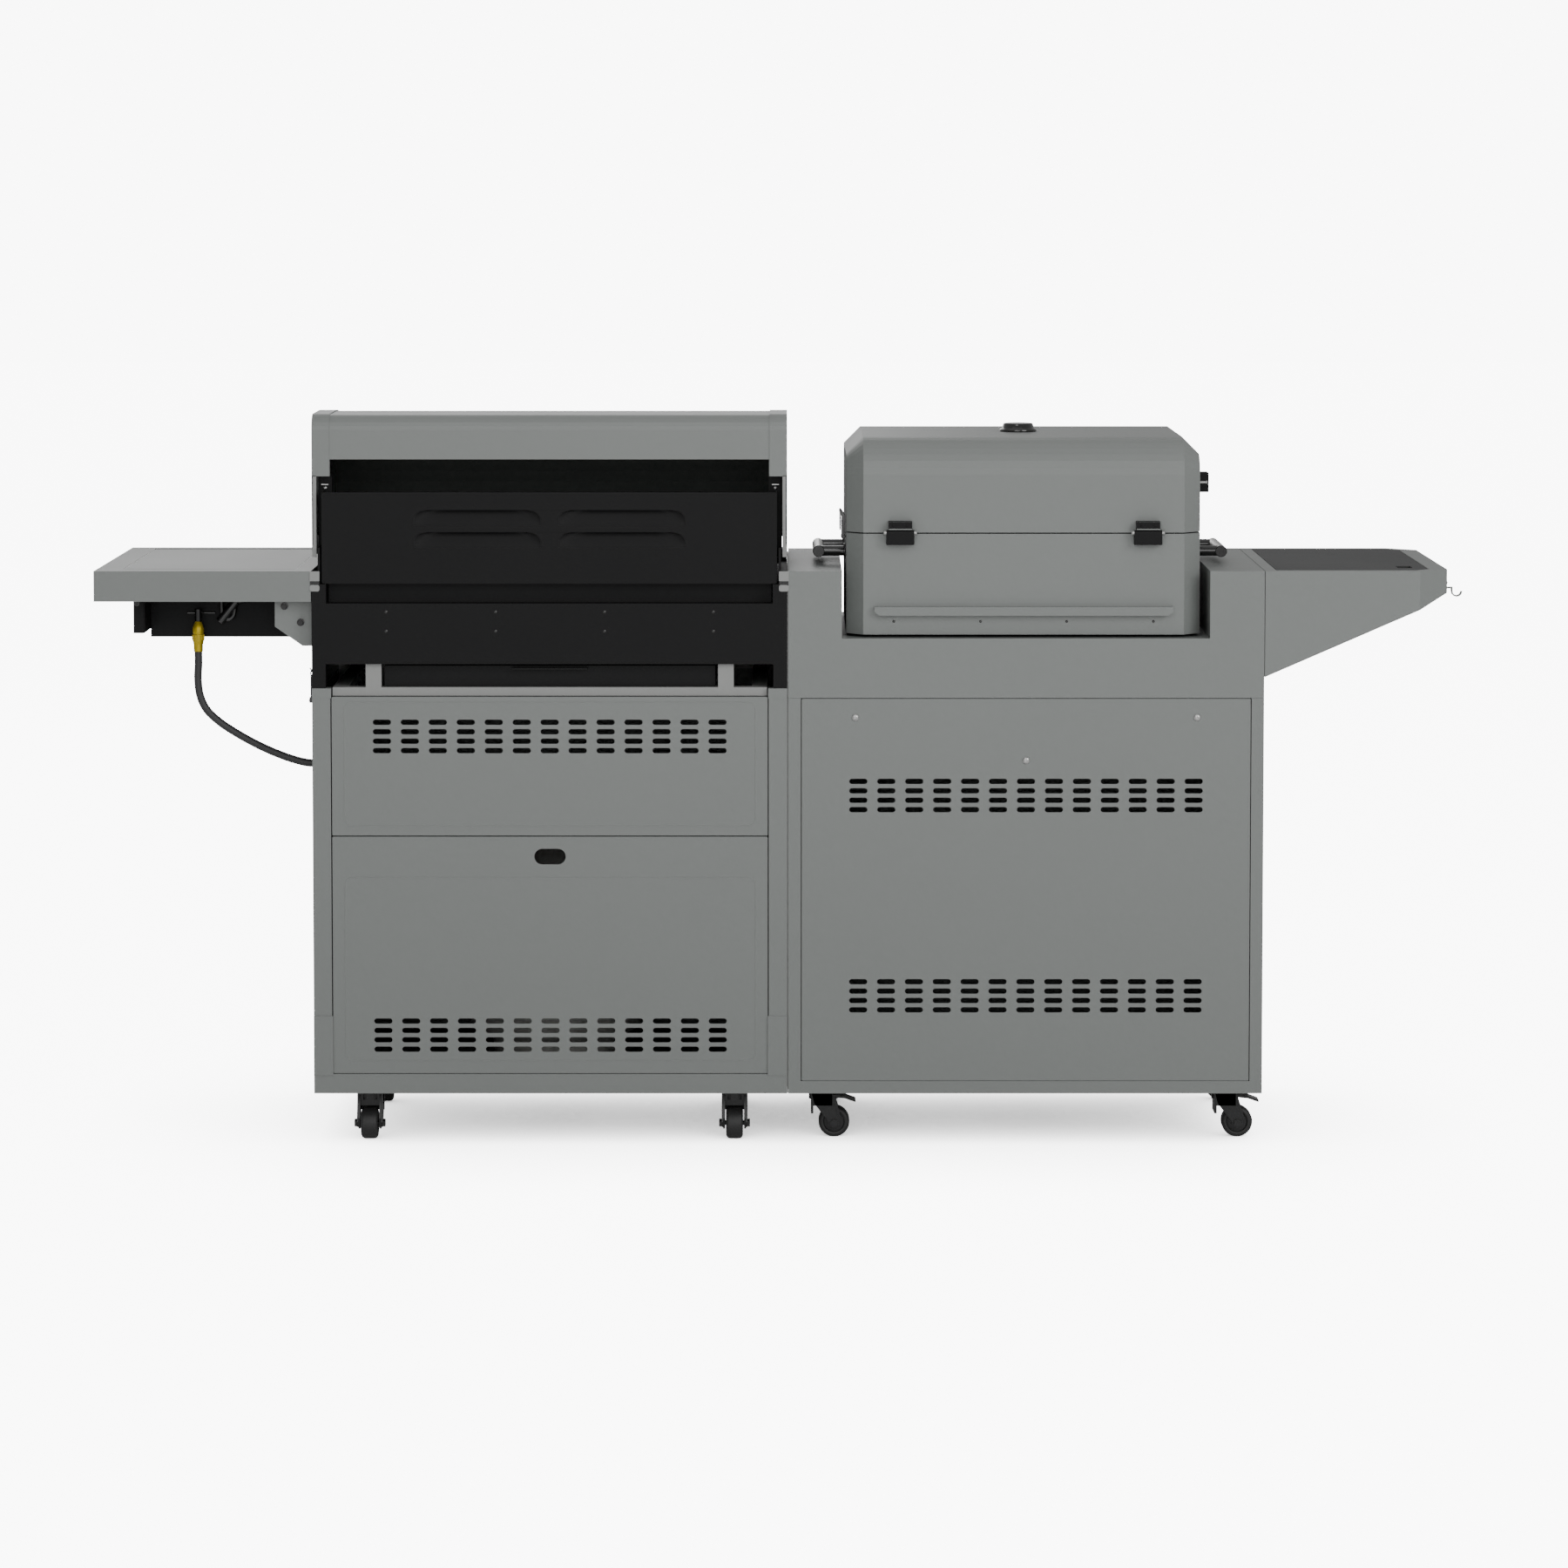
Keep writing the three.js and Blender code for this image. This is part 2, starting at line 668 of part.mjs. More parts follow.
function hood() {
  const capsOnly = prism("x", hoodOutline(0, hoodBottom), grillInner, grillOuter)
    .subtract(block(grillInner + hoodCapWidth, grillOuter - hoodCapWidth, hoodFrontY - 5, 5,
      hoodBottom - 5, hoodTop + 5));
  const skin = prism("x", hoodOutline(hoodCapProud, hoodBottom), grillInner + 1, grillOuter - 1);
  const inside = prism("x", hoodOutline(hoodCapProud + hoodWall, hoodBottom - 40),
    grillInner + sheet, grillOuter - sheet);
  const rearDoorway = block(grillInner + hoodCapWidth + 1, grillOuter - hoodCapWidth - 1,
    hoodRearY - 30, 10, hoodBottom - 1, hoodRearOpening);
  const capDoorway = block(grillInner + sheet, grillOuter - sheet, hoodRearY - 30, 10,
    hoodBottom - 1, hoodCapOpening);
  return capsOnly.add(skin).subtract(inside).subtract(rearDoorway).subtract(capDoorway);
}

function hoodHandle() {
  const barY = hoodFrontY - hoodHandleReach;
  const half = hoodHandleLength / 2;
  const pieces = [rod("x", barY, hoodHandleZ, hoodHandleRadius, grillCentre - half, grillCentre + half, 12)];
  for (const side of [-1, 1]) {
    const x = grillCentre + side * (half - 45);
    pieces.push(block(x - 9, x + 9, barY, hoodFrontY + 20, hoodHandleZ - 9, hoodHandleZ + 9));
  }
  const clear = prism("x", hoodOutline(-fit, hoodBottom - 1), grillInner, grillOuter);
  return joined(pieces).subtract(clear);
}

// Burner knobs stand square to the leaning front of the control panel
function knobPlaces() {
  return Array.from({ length: knobCount }, (_, i) => grillCentre + (i - (knobCount - 1) / 2) * knobPitch);
}

function panelNormal() {
  const length = Math.hypot(panelTopY - panelBottomY, panelTopZ - panelBottomZ);
  return { y: -(panelTopZ - panelBottomZ) / length, z: (panelTopY - panelBottomY) / length };
}

function knobPlace() {
  const along = (knobZ - panelBottomZ) / (panelTopZ - panelBottomZ);
  return { y: panelBottomY + along * (panelTopY - panelBottomY), z: knobZ };
}

function manifoldPlace() {
  const normal = panelNormal();
  const knob = knobPlace();
  return { y: knob.y - normal.y * stemLength, z: knob.z - normal.z * stemLength };
}

function controlPanel() {
  const rear = -bodyDepth - fit;
  const outline = [
    [rear, postCapTop + 1], [panelBottomY, panelBottomZ], [panelTopY, panelTopZ],
    [panelLedgeY, workHeight], [rear, workHeight],
  ];
  const cavity = [
    [rear + 1, postCapTop + 1 + sheet], [panelBottomY + sheet, panelBottomZ + sheet],
    [panelTopY + sheet, panelTopZ - 1], [panelLedgeY + 1, workHeight - sheet], [rear + 1, workHeight - sheet],
  ];
  let panel = prism("x", outline, grillInner, grillOuter)
    .subtract(prism("x", cavity, grillInner + sheet, grillOuter - sheet));
  for (const x of knobPlaces()) panel = panel.subtract(stem(x, stemRadius + 2, -20, 10));
  return panel;
}

// A round bar square to the control panel, from one distance to another along the knob's axis
function stem(x, radius, from, to) {
  const knob = knobPlace();
  const normal = panelNormal();
  const geometry = new THREE.CylinderGeometry(radius, radius, to - from, 12);
  geometry.translate(0, (from + to) / 2, 0);
  geometry.rotateX(Math.atan2(normal.z, normal.y));
  geometry.translate(x, knob.y, knob.z);
  return solid(geometry);
}

function knobShape(radius, height) {
  const grip = radius * 0.78;
  const profile = [
    [0, fit], [radius, fit], [radius, 5], [grip, 7], [grip - 1, height * 0.6], [0, height * 0.6],
  ];
  const geometry = new THREE.LatheGeometry(profile.map(([r, h]) => new THREE.Vector2(r, h)), 20);
  const bar = new THREE.BoxGeometry(9, height - 4, 2 * grip);
  bar.translate(0, height / 2 + 2, 0);
  return solid(geometry).add(solid(bar));
}

function addKnobs() {
  const normal = panelNormal();
  knobPlaces().forEach((x, i) => {
    const knob = addPiece(`burner_knob_${i + 1}`, knobShape(knobRadius, knobHeight), plastic);
    knob.position.set(x, knobPlace().y, knobPlace().z);
    knob.rotation.x = Math.atan2(normal.z, normal.y);
  });
  const side = addPiece("side_burner_knob", knobShape(20, 26), plastic);
  side.position.set((shelfInner + shelfOuter) / 2, -shelfDepth, workHeight - shelfSkirt / 2);
  side.rotation.x = Math.PI;
}

// The gas manifold with its valve stems and the tube burners that run back into the firebox
function burnerSet() {
  const { y, z } = manifoldPlace();
  const places = knobPlaces();
  const pieces = [rod("x", y, z, manifoldRadius, places[0] - 40, places.at(-1) + 40)];
  for (const x of places) {
    pieces.push(rod("y", x, z, burnerRadius, y, -fireboxRearInset - 40));
    pieces.push(stem(x, stemRadius, -stemLength, 0));
  }
  return joined(pieces);
}

function cookingGrate() {
  const inside = fireboxWall + 3;
  const [x0, x1] = [grillInner + fireboxInset + inside, grillOuter - fireboxInset - inside];
  const [y0, y1] = [-bodyDepth + fireboxRearInset + inside, -fireboxRearInset - inside];
  const z = grateLedgeZ + 7 + fit;
  return slotted(x0, x1, y0, y1, z, z + 8, 20);
}

// A grate: a slab with long slots that leave equal bars between them
function slotted(x0, x1, y0, y1, low, high, bars) {
  const border = 8;
  const pitch = (x1 - x0 - border) / bars;
  let slab = block(x0, x1, y0, y1, low, high);
  for (let i = 0; i < bars; i++) {
    const x = x0 + border + i * pitch;
    slab = slab.subtract(block(x, x + pitch - border, y0 + border, y1 - border, low - 1, high + 1));
  }
  return slab;
}

function warmingRack() {
  const [x0, x1] = [grillInner + fireboxInset - 6, grillOuter - fireboxInset + 6];
  const [z, radius] = [1022, 2.5];
  const pieces = [];
  for (let i = 0; i < 6; i++) pieces.push(rod("x", -120 - i * 24, z, radius, x0, x1, 6));
  for (const x of [x0, x1]) {
    pieces.push(rod("y", x, z, radius, -240 - radius, -120 + radius, 6));
    for (const y of [-120, -240]) pieces.push(rod("z", x, y, radius, fireboxTop + fit, z, 6));
  }
  return joined(pieces);
}

function greaseTray() {
  const half = cradleBracketOffset - cradleBracketWidth / 2 - trayClearance;
  const [x0, x1] = [grillCentre - half, grillCentre + half];
  const bottom = cradleTop + 0.6;
  const rear = -18;
  const tray = hollow(
    [x0, x1, rear - trayDepth, rear, bottom, trayTop],
    [x0 + sheet, x1 - sheet, rear - trayDepth + sheet, rear - sheet, bottom + sheet, trayTop + 1],
  );
  const lip = block(grillCentre - 60, grillCentre + 60, rear - 1, rear + 9, trayTop - 6, trayTop - 3);
  return tray.add(lip);
}

// The gas cylinder is a shell, open through the bore of its valve
function gasCylinder() {
  const shoulder = cylinderRadius;
  const inside = cylinderRadius - cylinderWall;
  const profile = [
    [0, 22], [98, 22], [98, 0], [104, 0], [106, 28], [shoulder, 78], [shoulder, 256],
    [shoulder - 16, 304], [shoulder - 66, 340], [20, 354], [20, 376], [28, 378], [28, 400],
    [valveBore, 400], [valveBore, 351], [shoulder - 68, 336.5], [shoulder - 18.5, 302], [inside, 255.5],
    [inside, 79.5], [104, 31], [95, 22 + cylinderWall], [0, 22 + cylinderWall],
  ];
  return turned(profile, grillCentre, middleY, baseRailTop + fit, 18);
}

function shelfOpening() {
  return {
    x0: shelfInner + lidInnerBorder, x1: shelfOuter - lidOuterBorder,
    y0: -shelfDepth + lidEdgeBorder, y1: -lidEdgeBorder,
  };
}

// The side shelf: a skirted frame around the lid, with a well for the lid and brackets to the cart
function shelfFrame() {
  const { x0, x1, y0, y1 } = shelfOpening();
  const bottom = workHeight - shelfSkirt;
  const shell = hollow(
    [shelfInner, shelfOuter, -shelfDepth, 0, bottom, workHeight],
    [shelfInner + sheet, shelfOuter - sheet, -shelfDepth + sheet, -sheet, bottom - 1, workHeight - sheet],
  );
  const wellBottom = workHeight - lidThickness - sheet;
  const well = block(x0 - sheet, x1 + sheet, y0 - sheet, y1 + sheet, wellBottom, workHeight);
  const opening = block(x0, x1, y0, y1, bottom - 2, workHeight + 1);
  let frame = shell.add(well).subtract(opening);
  const web = [
    [shelfInner, bracketBottom], [shelfInner + 16, bracketBottom],
    [shelfInner + bracketReach, bracketBottom + 31],
    [shelfInner + bracketReach, workHeight - 1], [shelfInner, workHeight - 1],
  ];
  for (const y of [-26, -shelfDepth + 24]) {
    frame = frame.add(prism("y", web, y, y + sheet));
    frame = frame.add(block(shelfInner, shelfInner + sheet, y - 14, y + sheet, bracketBottom, workHeight - 1));
  }
  return frame;
}

function sideBurnerPan() {
  const { x0, x1 } = shelfOpening();
  const top = workHeight - lidThickness - sheet - fit;
  const [a, b] = [x0 + 32, x1 - 32];
  const pan = block(a, b, burnerPanFront, burnerPanRear, burnerPanBottom, top)
    .add(block(x0 - 6, x1 + 6, burnerPanFront - 40, burnerPanRear + 92, top - sheet, top))
    .add(block(b + 2, b + 18, burnerPanRear + 80, burnerPanRear + 80 + sheet, burnerPanBottom, top))
    .add(block(b + 2, b + 18, burnerPanFront - 30, burnerPanFront - 30 + sheet, burnerPanBottom, top));
  return pan.subtract(block(a + sheet, b - sheet, burnerPanFront + sheet, burnerPanRear - sheet,
    burnerPanBottom + sheet, top + 1));
}

// The lid turns on an axis inside its rounded rear edge
function sideBurnerLid() {
  const { x0, x1, y0, y1 } = shelfOpening();
  const radius = lidThickness / 2;
  const middle = workHeight - radius;
  const outline = [
    ...arc(y1 - lidGap - radius, middle, radius, radius, -90, 90, 8),
    [y0 + lidGap, workHeight], [y0 + lidGap, workHeight - lidThickness],
  ];
  const lid = prism("x", outline, x0 + lidGap, x1 - lidGap);
  return lid.subtract(block(x0 + lidGap + sheet, x1 - lidGap - sheet, y0 + lidGap + sheet,
    y1 - lidGap - 2 * radius, workHeight - lidThickness - 1, workHeight - sheet));
}

function hoseFitting() {
  const [x, y, z] = hosePoints[0];
  const body = turned([
    [0, fit], [hoseRadius + 1.5, fit], [fittingRadius, 8], [fittingRadius, 24], [6, 32], [6, 70], [0, 70],
  ], x, y, z, 12);
  return body.add(rod("y", x, z + 64, 5, burnerPanRear + fit, y, 10));
}

function gasHose() {
  const path = new THREE.CatmullRomCurve3(hosePoints.map(([x, y, z]) => new THREE.Vector3(x, y, z)));
  const rim = circle(0, 0, hoseRadius, hoseSides).map(([u, v]) => new THREE.Vector2(u, v));
  const settings = { steps: hoseSteps, extrudePath: path, bevelEnabled: false };
  return solid(new THREE.ExtrudeGeometry(new THREE.Shape(rim), settings));
}

function hoseGrommet() {
  const [x, y, z] = hosePoints.at(-1);
  const face = x - hoseRadius / 20 - fit;
  return rod("x", y, z, grommetFlange, grillOuter + fit, face, 16)
    .add(rod("x", y, z, grommetRadius, grillOuter - 5, grillOuter + 1, 16));
}

// The console: a hollow U that bridges the cabinet, with a trough for the smoker
function consoleTop() {
  const near = cabinetInner - troughNear;
  const far = near - troughWidth;
  const outline = (inset) => [
    [cabinetInner - inset, consoleBottom + inset], [cabinetInner - inset, workHeight - inset],
    [near + inset, workHeight - inset], [near + inset, troughFloor - inset],
    [far - inset, troughFloor - inset], [far - inset, workHeight - inset],
    [cabinetOuter + inset, workHeight - inset], [cabinetOuter + inset, consoleBottom + inset],
  ];
  const shell = prism("y", outline(0), -bodyDepth, 0)
    .subtract(prism("y", outline(consoleWall), -bodyDepth + consoleWall, -consoleWall));
  return shell.subtract(block(cabinetOuter + 20, cabinetInner - 20, -bodyDepth + 20, -20,
    consoleBottom - 1, consoleBottom + consoleWall + 1));
}

function binPlan(inset) {
  const [root, end] = [cabinetOuter - binGap - inset, cabinetOuter - binGap - binLength + inset];
  const [y0, y1] = [-bodyDepth + inset, -inset];
  const cut = [binCorner - inset * 0.4, binCornerDepth - inset * 0.4];
  return [
    [root, y1], [root, y0], [end + cut[0], y0], [end, y0 + cut[1]], [end, y1 - cut[1]], [end + cut[0], y1],
  ];
}

function binSide(inset, top) {
  const [root, end] = [cabinetOuter - binGap - inset, cabinetOuter - binGap - binLength + inset];
  return [
    [root, top], [root, binRootZ + inset * 1.4], [end + binShoulder, binShoulderZ + inset * 1.2],
    [end, workHeight - binEndHeight + inset], [end, top],
  ];
}

function boardOutline(clearance) {
  const root = cabinetOuter - binGap - boardInset + clearance;
  const end = cabinetOuter - binGap - binLength + boardEndInset - clearance;
  const [y0, y1] = [-bodyDepth + boardInset - clearance, -boardInset + clearance];
  return [
    [root, y1], [root, y0], [end + boardCorner, y0], [end, y0 + boardCorner], [end, y1 - boardCorner],
    [end + boardCorner, y1],
  ];
}

// A J-shaped tool hook that hangs from the end of the bin
function toolHook(y) {
  const end = cabinetOuter - binGap - binLength;
  const z = workHeight - binEndHeight;
  const outer = arc(end - 18, z + 1, 9, 9, 180, 360, 6);
  const inner = arc(end - 18, z + 1, 6.5, 6.5, 360, 180, 6);
  const arm = [[end - 9, z + 5.5], [end + 4, z + 5.5], [end + 4, z + 8], [end - 11.5, z + 8]];
  return prism("y", [...outer, ...arm, ...inner], y - 4, y + 4);
}

function sideBin() {
  const pocketFloor = workHeight - boardThickness - fit;
  const ceiling = pocketFloor - 4;
  const shape = prism("y", binSide(0, workHeight), -bodyDepth, 0)
    .intersect(prism("z", binPlan(0), binRootZ - 5, workHeight + 5));
  const cavity = prism("y", binSide(binWall, ceiling), -bodyDepth, 0)
    .intersect(prism("z", binPlan(binWall), binRootZ - 5, workHeight + 5));
  const pocket = prism("z", boardOutline(boardClearance), pocketFloor, workHeight + 1);
  const mouth = prism("z", boardOutline(-boardLedge), ceiling - 1, workHeight + 1);
  const hooks = [-bodyDepth + 60, middleY, -60].map(toolHook);
  return joined([shape.subtract(cavity).subtract(pocket).subtract(mouth), ...hooks]);
}

function binBoard() {
  const board = prism("z", boardOutline(0), workHeight - boardThickness, workHeight);
  const end = cabinetOuter - binGap - binLength + boardEndInset;
  const slot = block(end + 22, end + 46, -100, -62, workHeight - boardThickness - 1, workHeight + 1);
  return board.subtract(slot);
}

// The smoker's outer form: a side outline run along X with both ends bevelled at 45 degrees.
// With no shoulder radius the top corners are square.
function smokerForm(inset, bottom, top, shoulder) {
  const rear = smokerRear - inset;
  const front = smokerFront + inset;
  const radius = shoulder - inset;
  const crown = shoulder === 0 ? [[rear, top], [front, top]] : [
    ...arc(rear - radius, top - radius, radius, radius, 0, 90, 8),
    ...arc(front + radius, top - radius, radius, radius, 90, 180, 8),
  ];
  const outline = [[front, bottom], [rear, bottom], ...crown];
  const shape = new THREE.Shape(outline.map(([y, z]) => new THREE.Vector2(y, z)));
  const width = smokerWidth - 2 * inset;
  const geometry = new THREE.ExtrudeGeometry(shape, {
    depth: width - 2 * smokerChamfer, bevelEnabled: true, bevelSegments: 1,
    bevelThickness: smokerChamfer, bevelSize: smokerChamfer, bevelOffset: -smokerChamfer,
  });
  geometry.applyMatrix4(axes.x);
  geometry.translate(smokerOuter + inset + smokerChamfer, 0, 0);
  return solid(geometry);
}

function smokerBody() {
  const top = smokerSeam - smokerSeamGap / 2;
  const far = 60;
  const slab = (low) => block(smokerOuter - 5, smokerInner + 5, smokerFront - 5, 5, low, top);
  const outer = smokerForm(0, smokerBottom - far, top + far, 0).intersect(slab(smokerBottom));
  const inner = smokerForm(smokerWall, smokerBottom - far, top + far, 0)
    .intersect(slab(smokerBottom + smokerWall).add(slab(top - 1).translate(0, 0, 5)));
  const pieces = [outer.subtract(inner)];
  for (const x of [smokerOuter + 50, smokerInner - 50]) {
    for (const y of [smokerFront + 50, smokerRear - 50]) {
      pieces.push(rod("z", x, y, 12, troughFloor + fit, smokerBottom + 1));
    }
  }
  for (const [x, direction] of [[smokerOuter, 1], [smokerInner, -1]]) {
    const ledge = [x + direction * (smokerWall - 1), x + direction * 14];
    pieces.push(block(...ledge, smokerFront + 60, smokerRear - 60, 948, 951));
  }
  const shelf = [
    [smokerCentre - ledgeHalf + 8, ledgeBottom], [smokerCentre + ledgeHalf - 8, ledgeBottom],
    [smokerCentre + ledgeHalf, ledgeBottom + 6], [smokerCentre + ledgeHalf, ledgeBottom + ledgeHeight],
    [smokerCentre - ledgeHalf, ledgeBottom + ledgeHeight], [smokerCentre - ledgeHalf, ledgeBottom + 6],
  ];
  pieces.push(prism("y", shelf, smokerRear - 1, smokerRear + 12));
  for (const side of [-1, 1]) {
    const x = smokerCentre + side * smokerHingeOffset;
    const half = smokerHingePlate / 2;
    pieces.push(block(x - half, x + half, smokerRear - 1, smokerPivotY + 3, smokerPivotZ - 19, smokerPivotZ - 3));
    pieces.push(rod("x", smokerPivotY, smokerPivotZ, 3, x - 26, x + 26, 8));
    pieces.push(block(x - 8, x + 8, smokerPivotY - 3, smokerPivotY + 3, smokerPivotZ - 4, smokerPivotZ));
  }
  return joined(pieces);
}

function smokerLid() {
  const bottom = smokerSeam + smokerSeamGap / 2;
  const far = 60;
  const slab = (low) => block(smokerOuter - 5, smokerInner + 5, smokerFront - 5, 5, low, smokerTop + 5);
  const outer = smokerForm(0, bottom - far, smokerTop, smokerShoulder).intersect(slab(bottom));
  const inner = smokerForm(smokerWall, bottom - far, smokerTop - smokerWall, smokerShoulder);
  const pieces = [outer.subtract(inner)];
  for (const side of [-1, 1]) {
    const x = smokerCentre + side * smokerHingeOffset;
    const half = smokerHingeLeaf / 2;
    pieces.push(block(x - half, x + half, smokerRear - 1, smokerPivotY + 4, smokerPivotZ + 5, smokerPivotZ + 18));
  }
  pieces.push(block(smokerOuter - 20, smokerOuter + 1, -150, -119, 1044, 1075));
  const middle = smokerRear - smokerDepth / 2;
  return joined(pieces)
    .subtract(rod("z", smokerCentre, middle, ventHoleRadius, smokerTop - 10, smokerTop + 10, 20));
}

function smokerVentCap() {
  const profile = [
    [0, fit], [ventCapRadius, fit], [ventCapRadius, 4], [ventCapTopRadius, ventCapHeight], [0, ventCapHeight],
  ];
  return turned(profile, smokerCentre, smokerRear - smokerDepth / 2, smokerTop, 20);
}

function smokerLidHandle() {
  const barY = smokerFront - 42;
  const half = 130;
  const pieces = [rod("x", barY, 1012, 9, smokerCentre - half, smokerCentre + half, 12)];
  for (const side of [-1, 1]) {
    const x = smokerCentre + side * (half - 28);
    pieces.push(rod("y", x, 1012, 6, barY, smokerFront - fit));
  }
  return joined(pieces);
}

function carryHandle(face, direction) {
  const y = smokerRear - smokerDepth / 2;
  const barX = face + direction * carryReach;
  const half = carryBarLength / 2;
  const pieces = [rod("y", barX, carryZ, carryBarRadius, y - half, y + half, 12)];
  for (const side of [-1, 1]) {
    const ends = [face + direction * fit, barX];
    pieces.push(rod("x", y + (side * carryPostSpacing) / 2, carryZ, carryPostRadius,
      Math.min(...ends), Math.max(...ends)));
  }
  return joined(pieces);
}

function smokerGrate() {
  const [x0, x1] = [smokerOuter + smokerWall + 4, smokerInner - smokerWall - 4];
  const [y0, y1] = [smokerFront + smokerChamfer + 6, smokerRear - smokerChamfer - 6];
  const z = 951 + fit;
  return slotted(x0, x1, y0, y1, z, z + 6, 16);
}

function charcoalTray() {
  const [x0, x1] = [smokerOuter + 36, smokerInner - 36];
  const [y0, y1] = [smokerFront + 36, smokerRear - 36];
  const floor = smokerBottom + smokerWall + fit;
  const tray = hollow(
    [x0, x1, y0, y1, floor + 18, floor + 60],
    [x0 + sheet, x1 - sheet, y0 + sheet, y1 - sheet, floor + 20, floor + 61],
  );
  const legs = [];
  for (const x of [x0 + 10, x1 - 10]) {
    for (const y of [y0 + 10, y1 - 10]) legs.push(block(x - 6, x + 6, y - 6, y + 6, floor, floor + 19));
  }
  return joined([tray, ...legs]);
}

// An over-centre latch lever on the side of the smoker
function smokerLatch() {
  const face = smokerInner + fit;
  return joined([
    block(face + 1, face + 7, -112, -88, 972, 1016),
    rod("y", face + 4, 974, 4, -115, -85, 10),
    block(face + 3, face + 11, -108, -92, 1008, 1019),
  ]);
}

function buildGrill() {
  addPiece("grill_cart_frame", grillCartFrame(), gray);
  addPiece("grill_back_upper", grillBackUpper(), gray);
  addPiece("grill_back_lower", grillBackLower(), gray);
  addPiece("grill_cradle", grillCradle(), gray);
  addPiece("firebox_skirt", fireboxSkirt(), black);
  addPiece("firebox", firebox(), black);
  addPiece("firebox_shield", fireboxShield(), black);
  addPiece("hood", hood(), gray);
  addPiece("hood_handle", hoodHandle(), steel);
  addPiece("control_panel", controlPanel(), gray);
  addPiece("burner_set", burnerSet(), steel);
  addPiece("cooking_grate", cookingGrate(), iron);
  addPiece("warming_rack", warmingRack(), steel);
  addPiece("grease_tray", greaseTray(), black);
  addPiece("gas_cylinder", gasCylinder(), tankPaint);
}

function buildShelf() {
  addPiece("shelf_frame", shelfFrame(), gray);
  addPiece("side_burner_pan", sideBurnerPan(), black);
  addPiece("side_burner_lid", sideBurnerLid(), gray);
  addPiece("hose_fitting", hoseFitting(), brass);
  addPiece("hose_grommet", hoseGrommet(), rubber);
}

function buildCabinet() {
  addPiece("cabinet_carcass", cabinetCarcass(), gray);
  addPiece("cabinet_back", cabinetBack(), gray);
  addPiece("console_top", consoleTop(), gray);
  addPiece("side_bin", sideBin(), gray);
  addPiece("bin_board", binBoard(), plastic);
}

function buildSmoker() {
  addPiece("smoker_body", smokerBody(), gray);
  addPiece("smoker_lid", smokerLid(), gray);
  addPiece("smoker_vent_cap", smokerVentCap(), plastic);
  addPiece("smoker_lid_handle", smokerLidHandle(), steel);
  addPiece("carry_handle_inner", carryHandle(smokerInner, 1), steel);
  addPiece("carry_handle_outer", carryHandle(smokerOuter, -1), steel);
  addPiece("smoker_grate", smokerGrate(), iron);
  addPiece("charcoal_tray", charcoalTray(), black);
  addPiece("smoker_latch", smokerLatch(), steel);
}

addCasters();
buildGrill();
addDoors();
addKnobs();
buildShelf();
buildCabinet();
buildSmoker();

// The origin stands on the floor under the middle of everything but the hose
group.updateMatrixWorld(true);
const bounds = new THREE.Box3().setFromObject(group);
const middle = bounds.getCenter(new THREE.Vector3());
addPiece("gas_hose", gasHose(), rubber);
group.position.set(-middle.x, -middle.y, -bounds.min.z);

export default group;
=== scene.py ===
import json
import math

import bmesh
import bpy
from mathutils import Matrix, Vector


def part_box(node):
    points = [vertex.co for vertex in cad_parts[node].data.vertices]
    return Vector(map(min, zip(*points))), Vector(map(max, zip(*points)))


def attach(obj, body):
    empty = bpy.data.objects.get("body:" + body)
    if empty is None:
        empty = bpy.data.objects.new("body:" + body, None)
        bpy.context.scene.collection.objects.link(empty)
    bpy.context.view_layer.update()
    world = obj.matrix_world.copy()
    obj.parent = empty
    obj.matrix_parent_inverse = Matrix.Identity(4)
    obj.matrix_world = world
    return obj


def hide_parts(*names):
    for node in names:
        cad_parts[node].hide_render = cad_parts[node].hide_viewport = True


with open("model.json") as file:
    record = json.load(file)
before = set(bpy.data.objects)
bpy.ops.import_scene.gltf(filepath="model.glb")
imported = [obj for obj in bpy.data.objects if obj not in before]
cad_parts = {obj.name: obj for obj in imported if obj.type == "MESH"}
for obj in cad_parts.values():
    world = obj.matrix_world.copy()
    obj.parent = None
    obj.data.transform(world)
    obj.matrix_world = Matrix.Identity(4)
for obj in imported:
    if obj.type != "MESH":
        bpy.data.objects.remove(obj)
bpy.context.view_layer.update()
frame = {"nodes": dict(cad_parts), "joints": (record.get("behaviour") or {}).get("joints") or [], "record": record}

# The seam between the two carts, their rear faces and the joints place everything below
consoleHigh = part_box("console_top")[1]
origin = Vector((consoleHigh.x + 0.001, consoleHigh.y, 0))


def at(x, y, z):
    # from metres off the seam and the rear faces to the row frame
    return origin + Vector((x, y, z))


def boxOf(node):
    low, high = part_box(node)
    return low - origin, high - origin


cameraLook = {"distance": 8.0, "height": 1.591, "side": 0.006, "lens": 115.4, "shift": -0.2011}


def makeCamera():
    look = cameraLook
    data = bpy.data.cameras.new("camera")
    data.lens = look["lens"]
    data.shift_y = look["shift"]
    camera = bpy.data.objects.new("camera", data)
    bpy.context.scene.collection.objects.link(camera)
    camera.location = at(look["side"], look["distance"], look["height"])
    tilt = math.atan(-look["shift"] * data.sensor_width / look["lens"])
    camera.rotation_euler = (math.pi / 2 - tilt, 0, math.pi)
    bpy.context.scene.camera = camera


def newPiece(name, bm, slot, body, bevel=0.0, segments=2, smooth=30, shift=True, material=None):
    # a mesh that rides on a body, in the finish of its slot unless another material is given
    piece = bpy.data.objects.new(name, fromBmesh(name, bm, shift))
    bpy.context.scene.collection.objects.link(piece)
    piece.data.materials.append(material or finishes[slot])
    soften(piece, bevel, segments, smooth)
    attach(piece, body)
    return piece


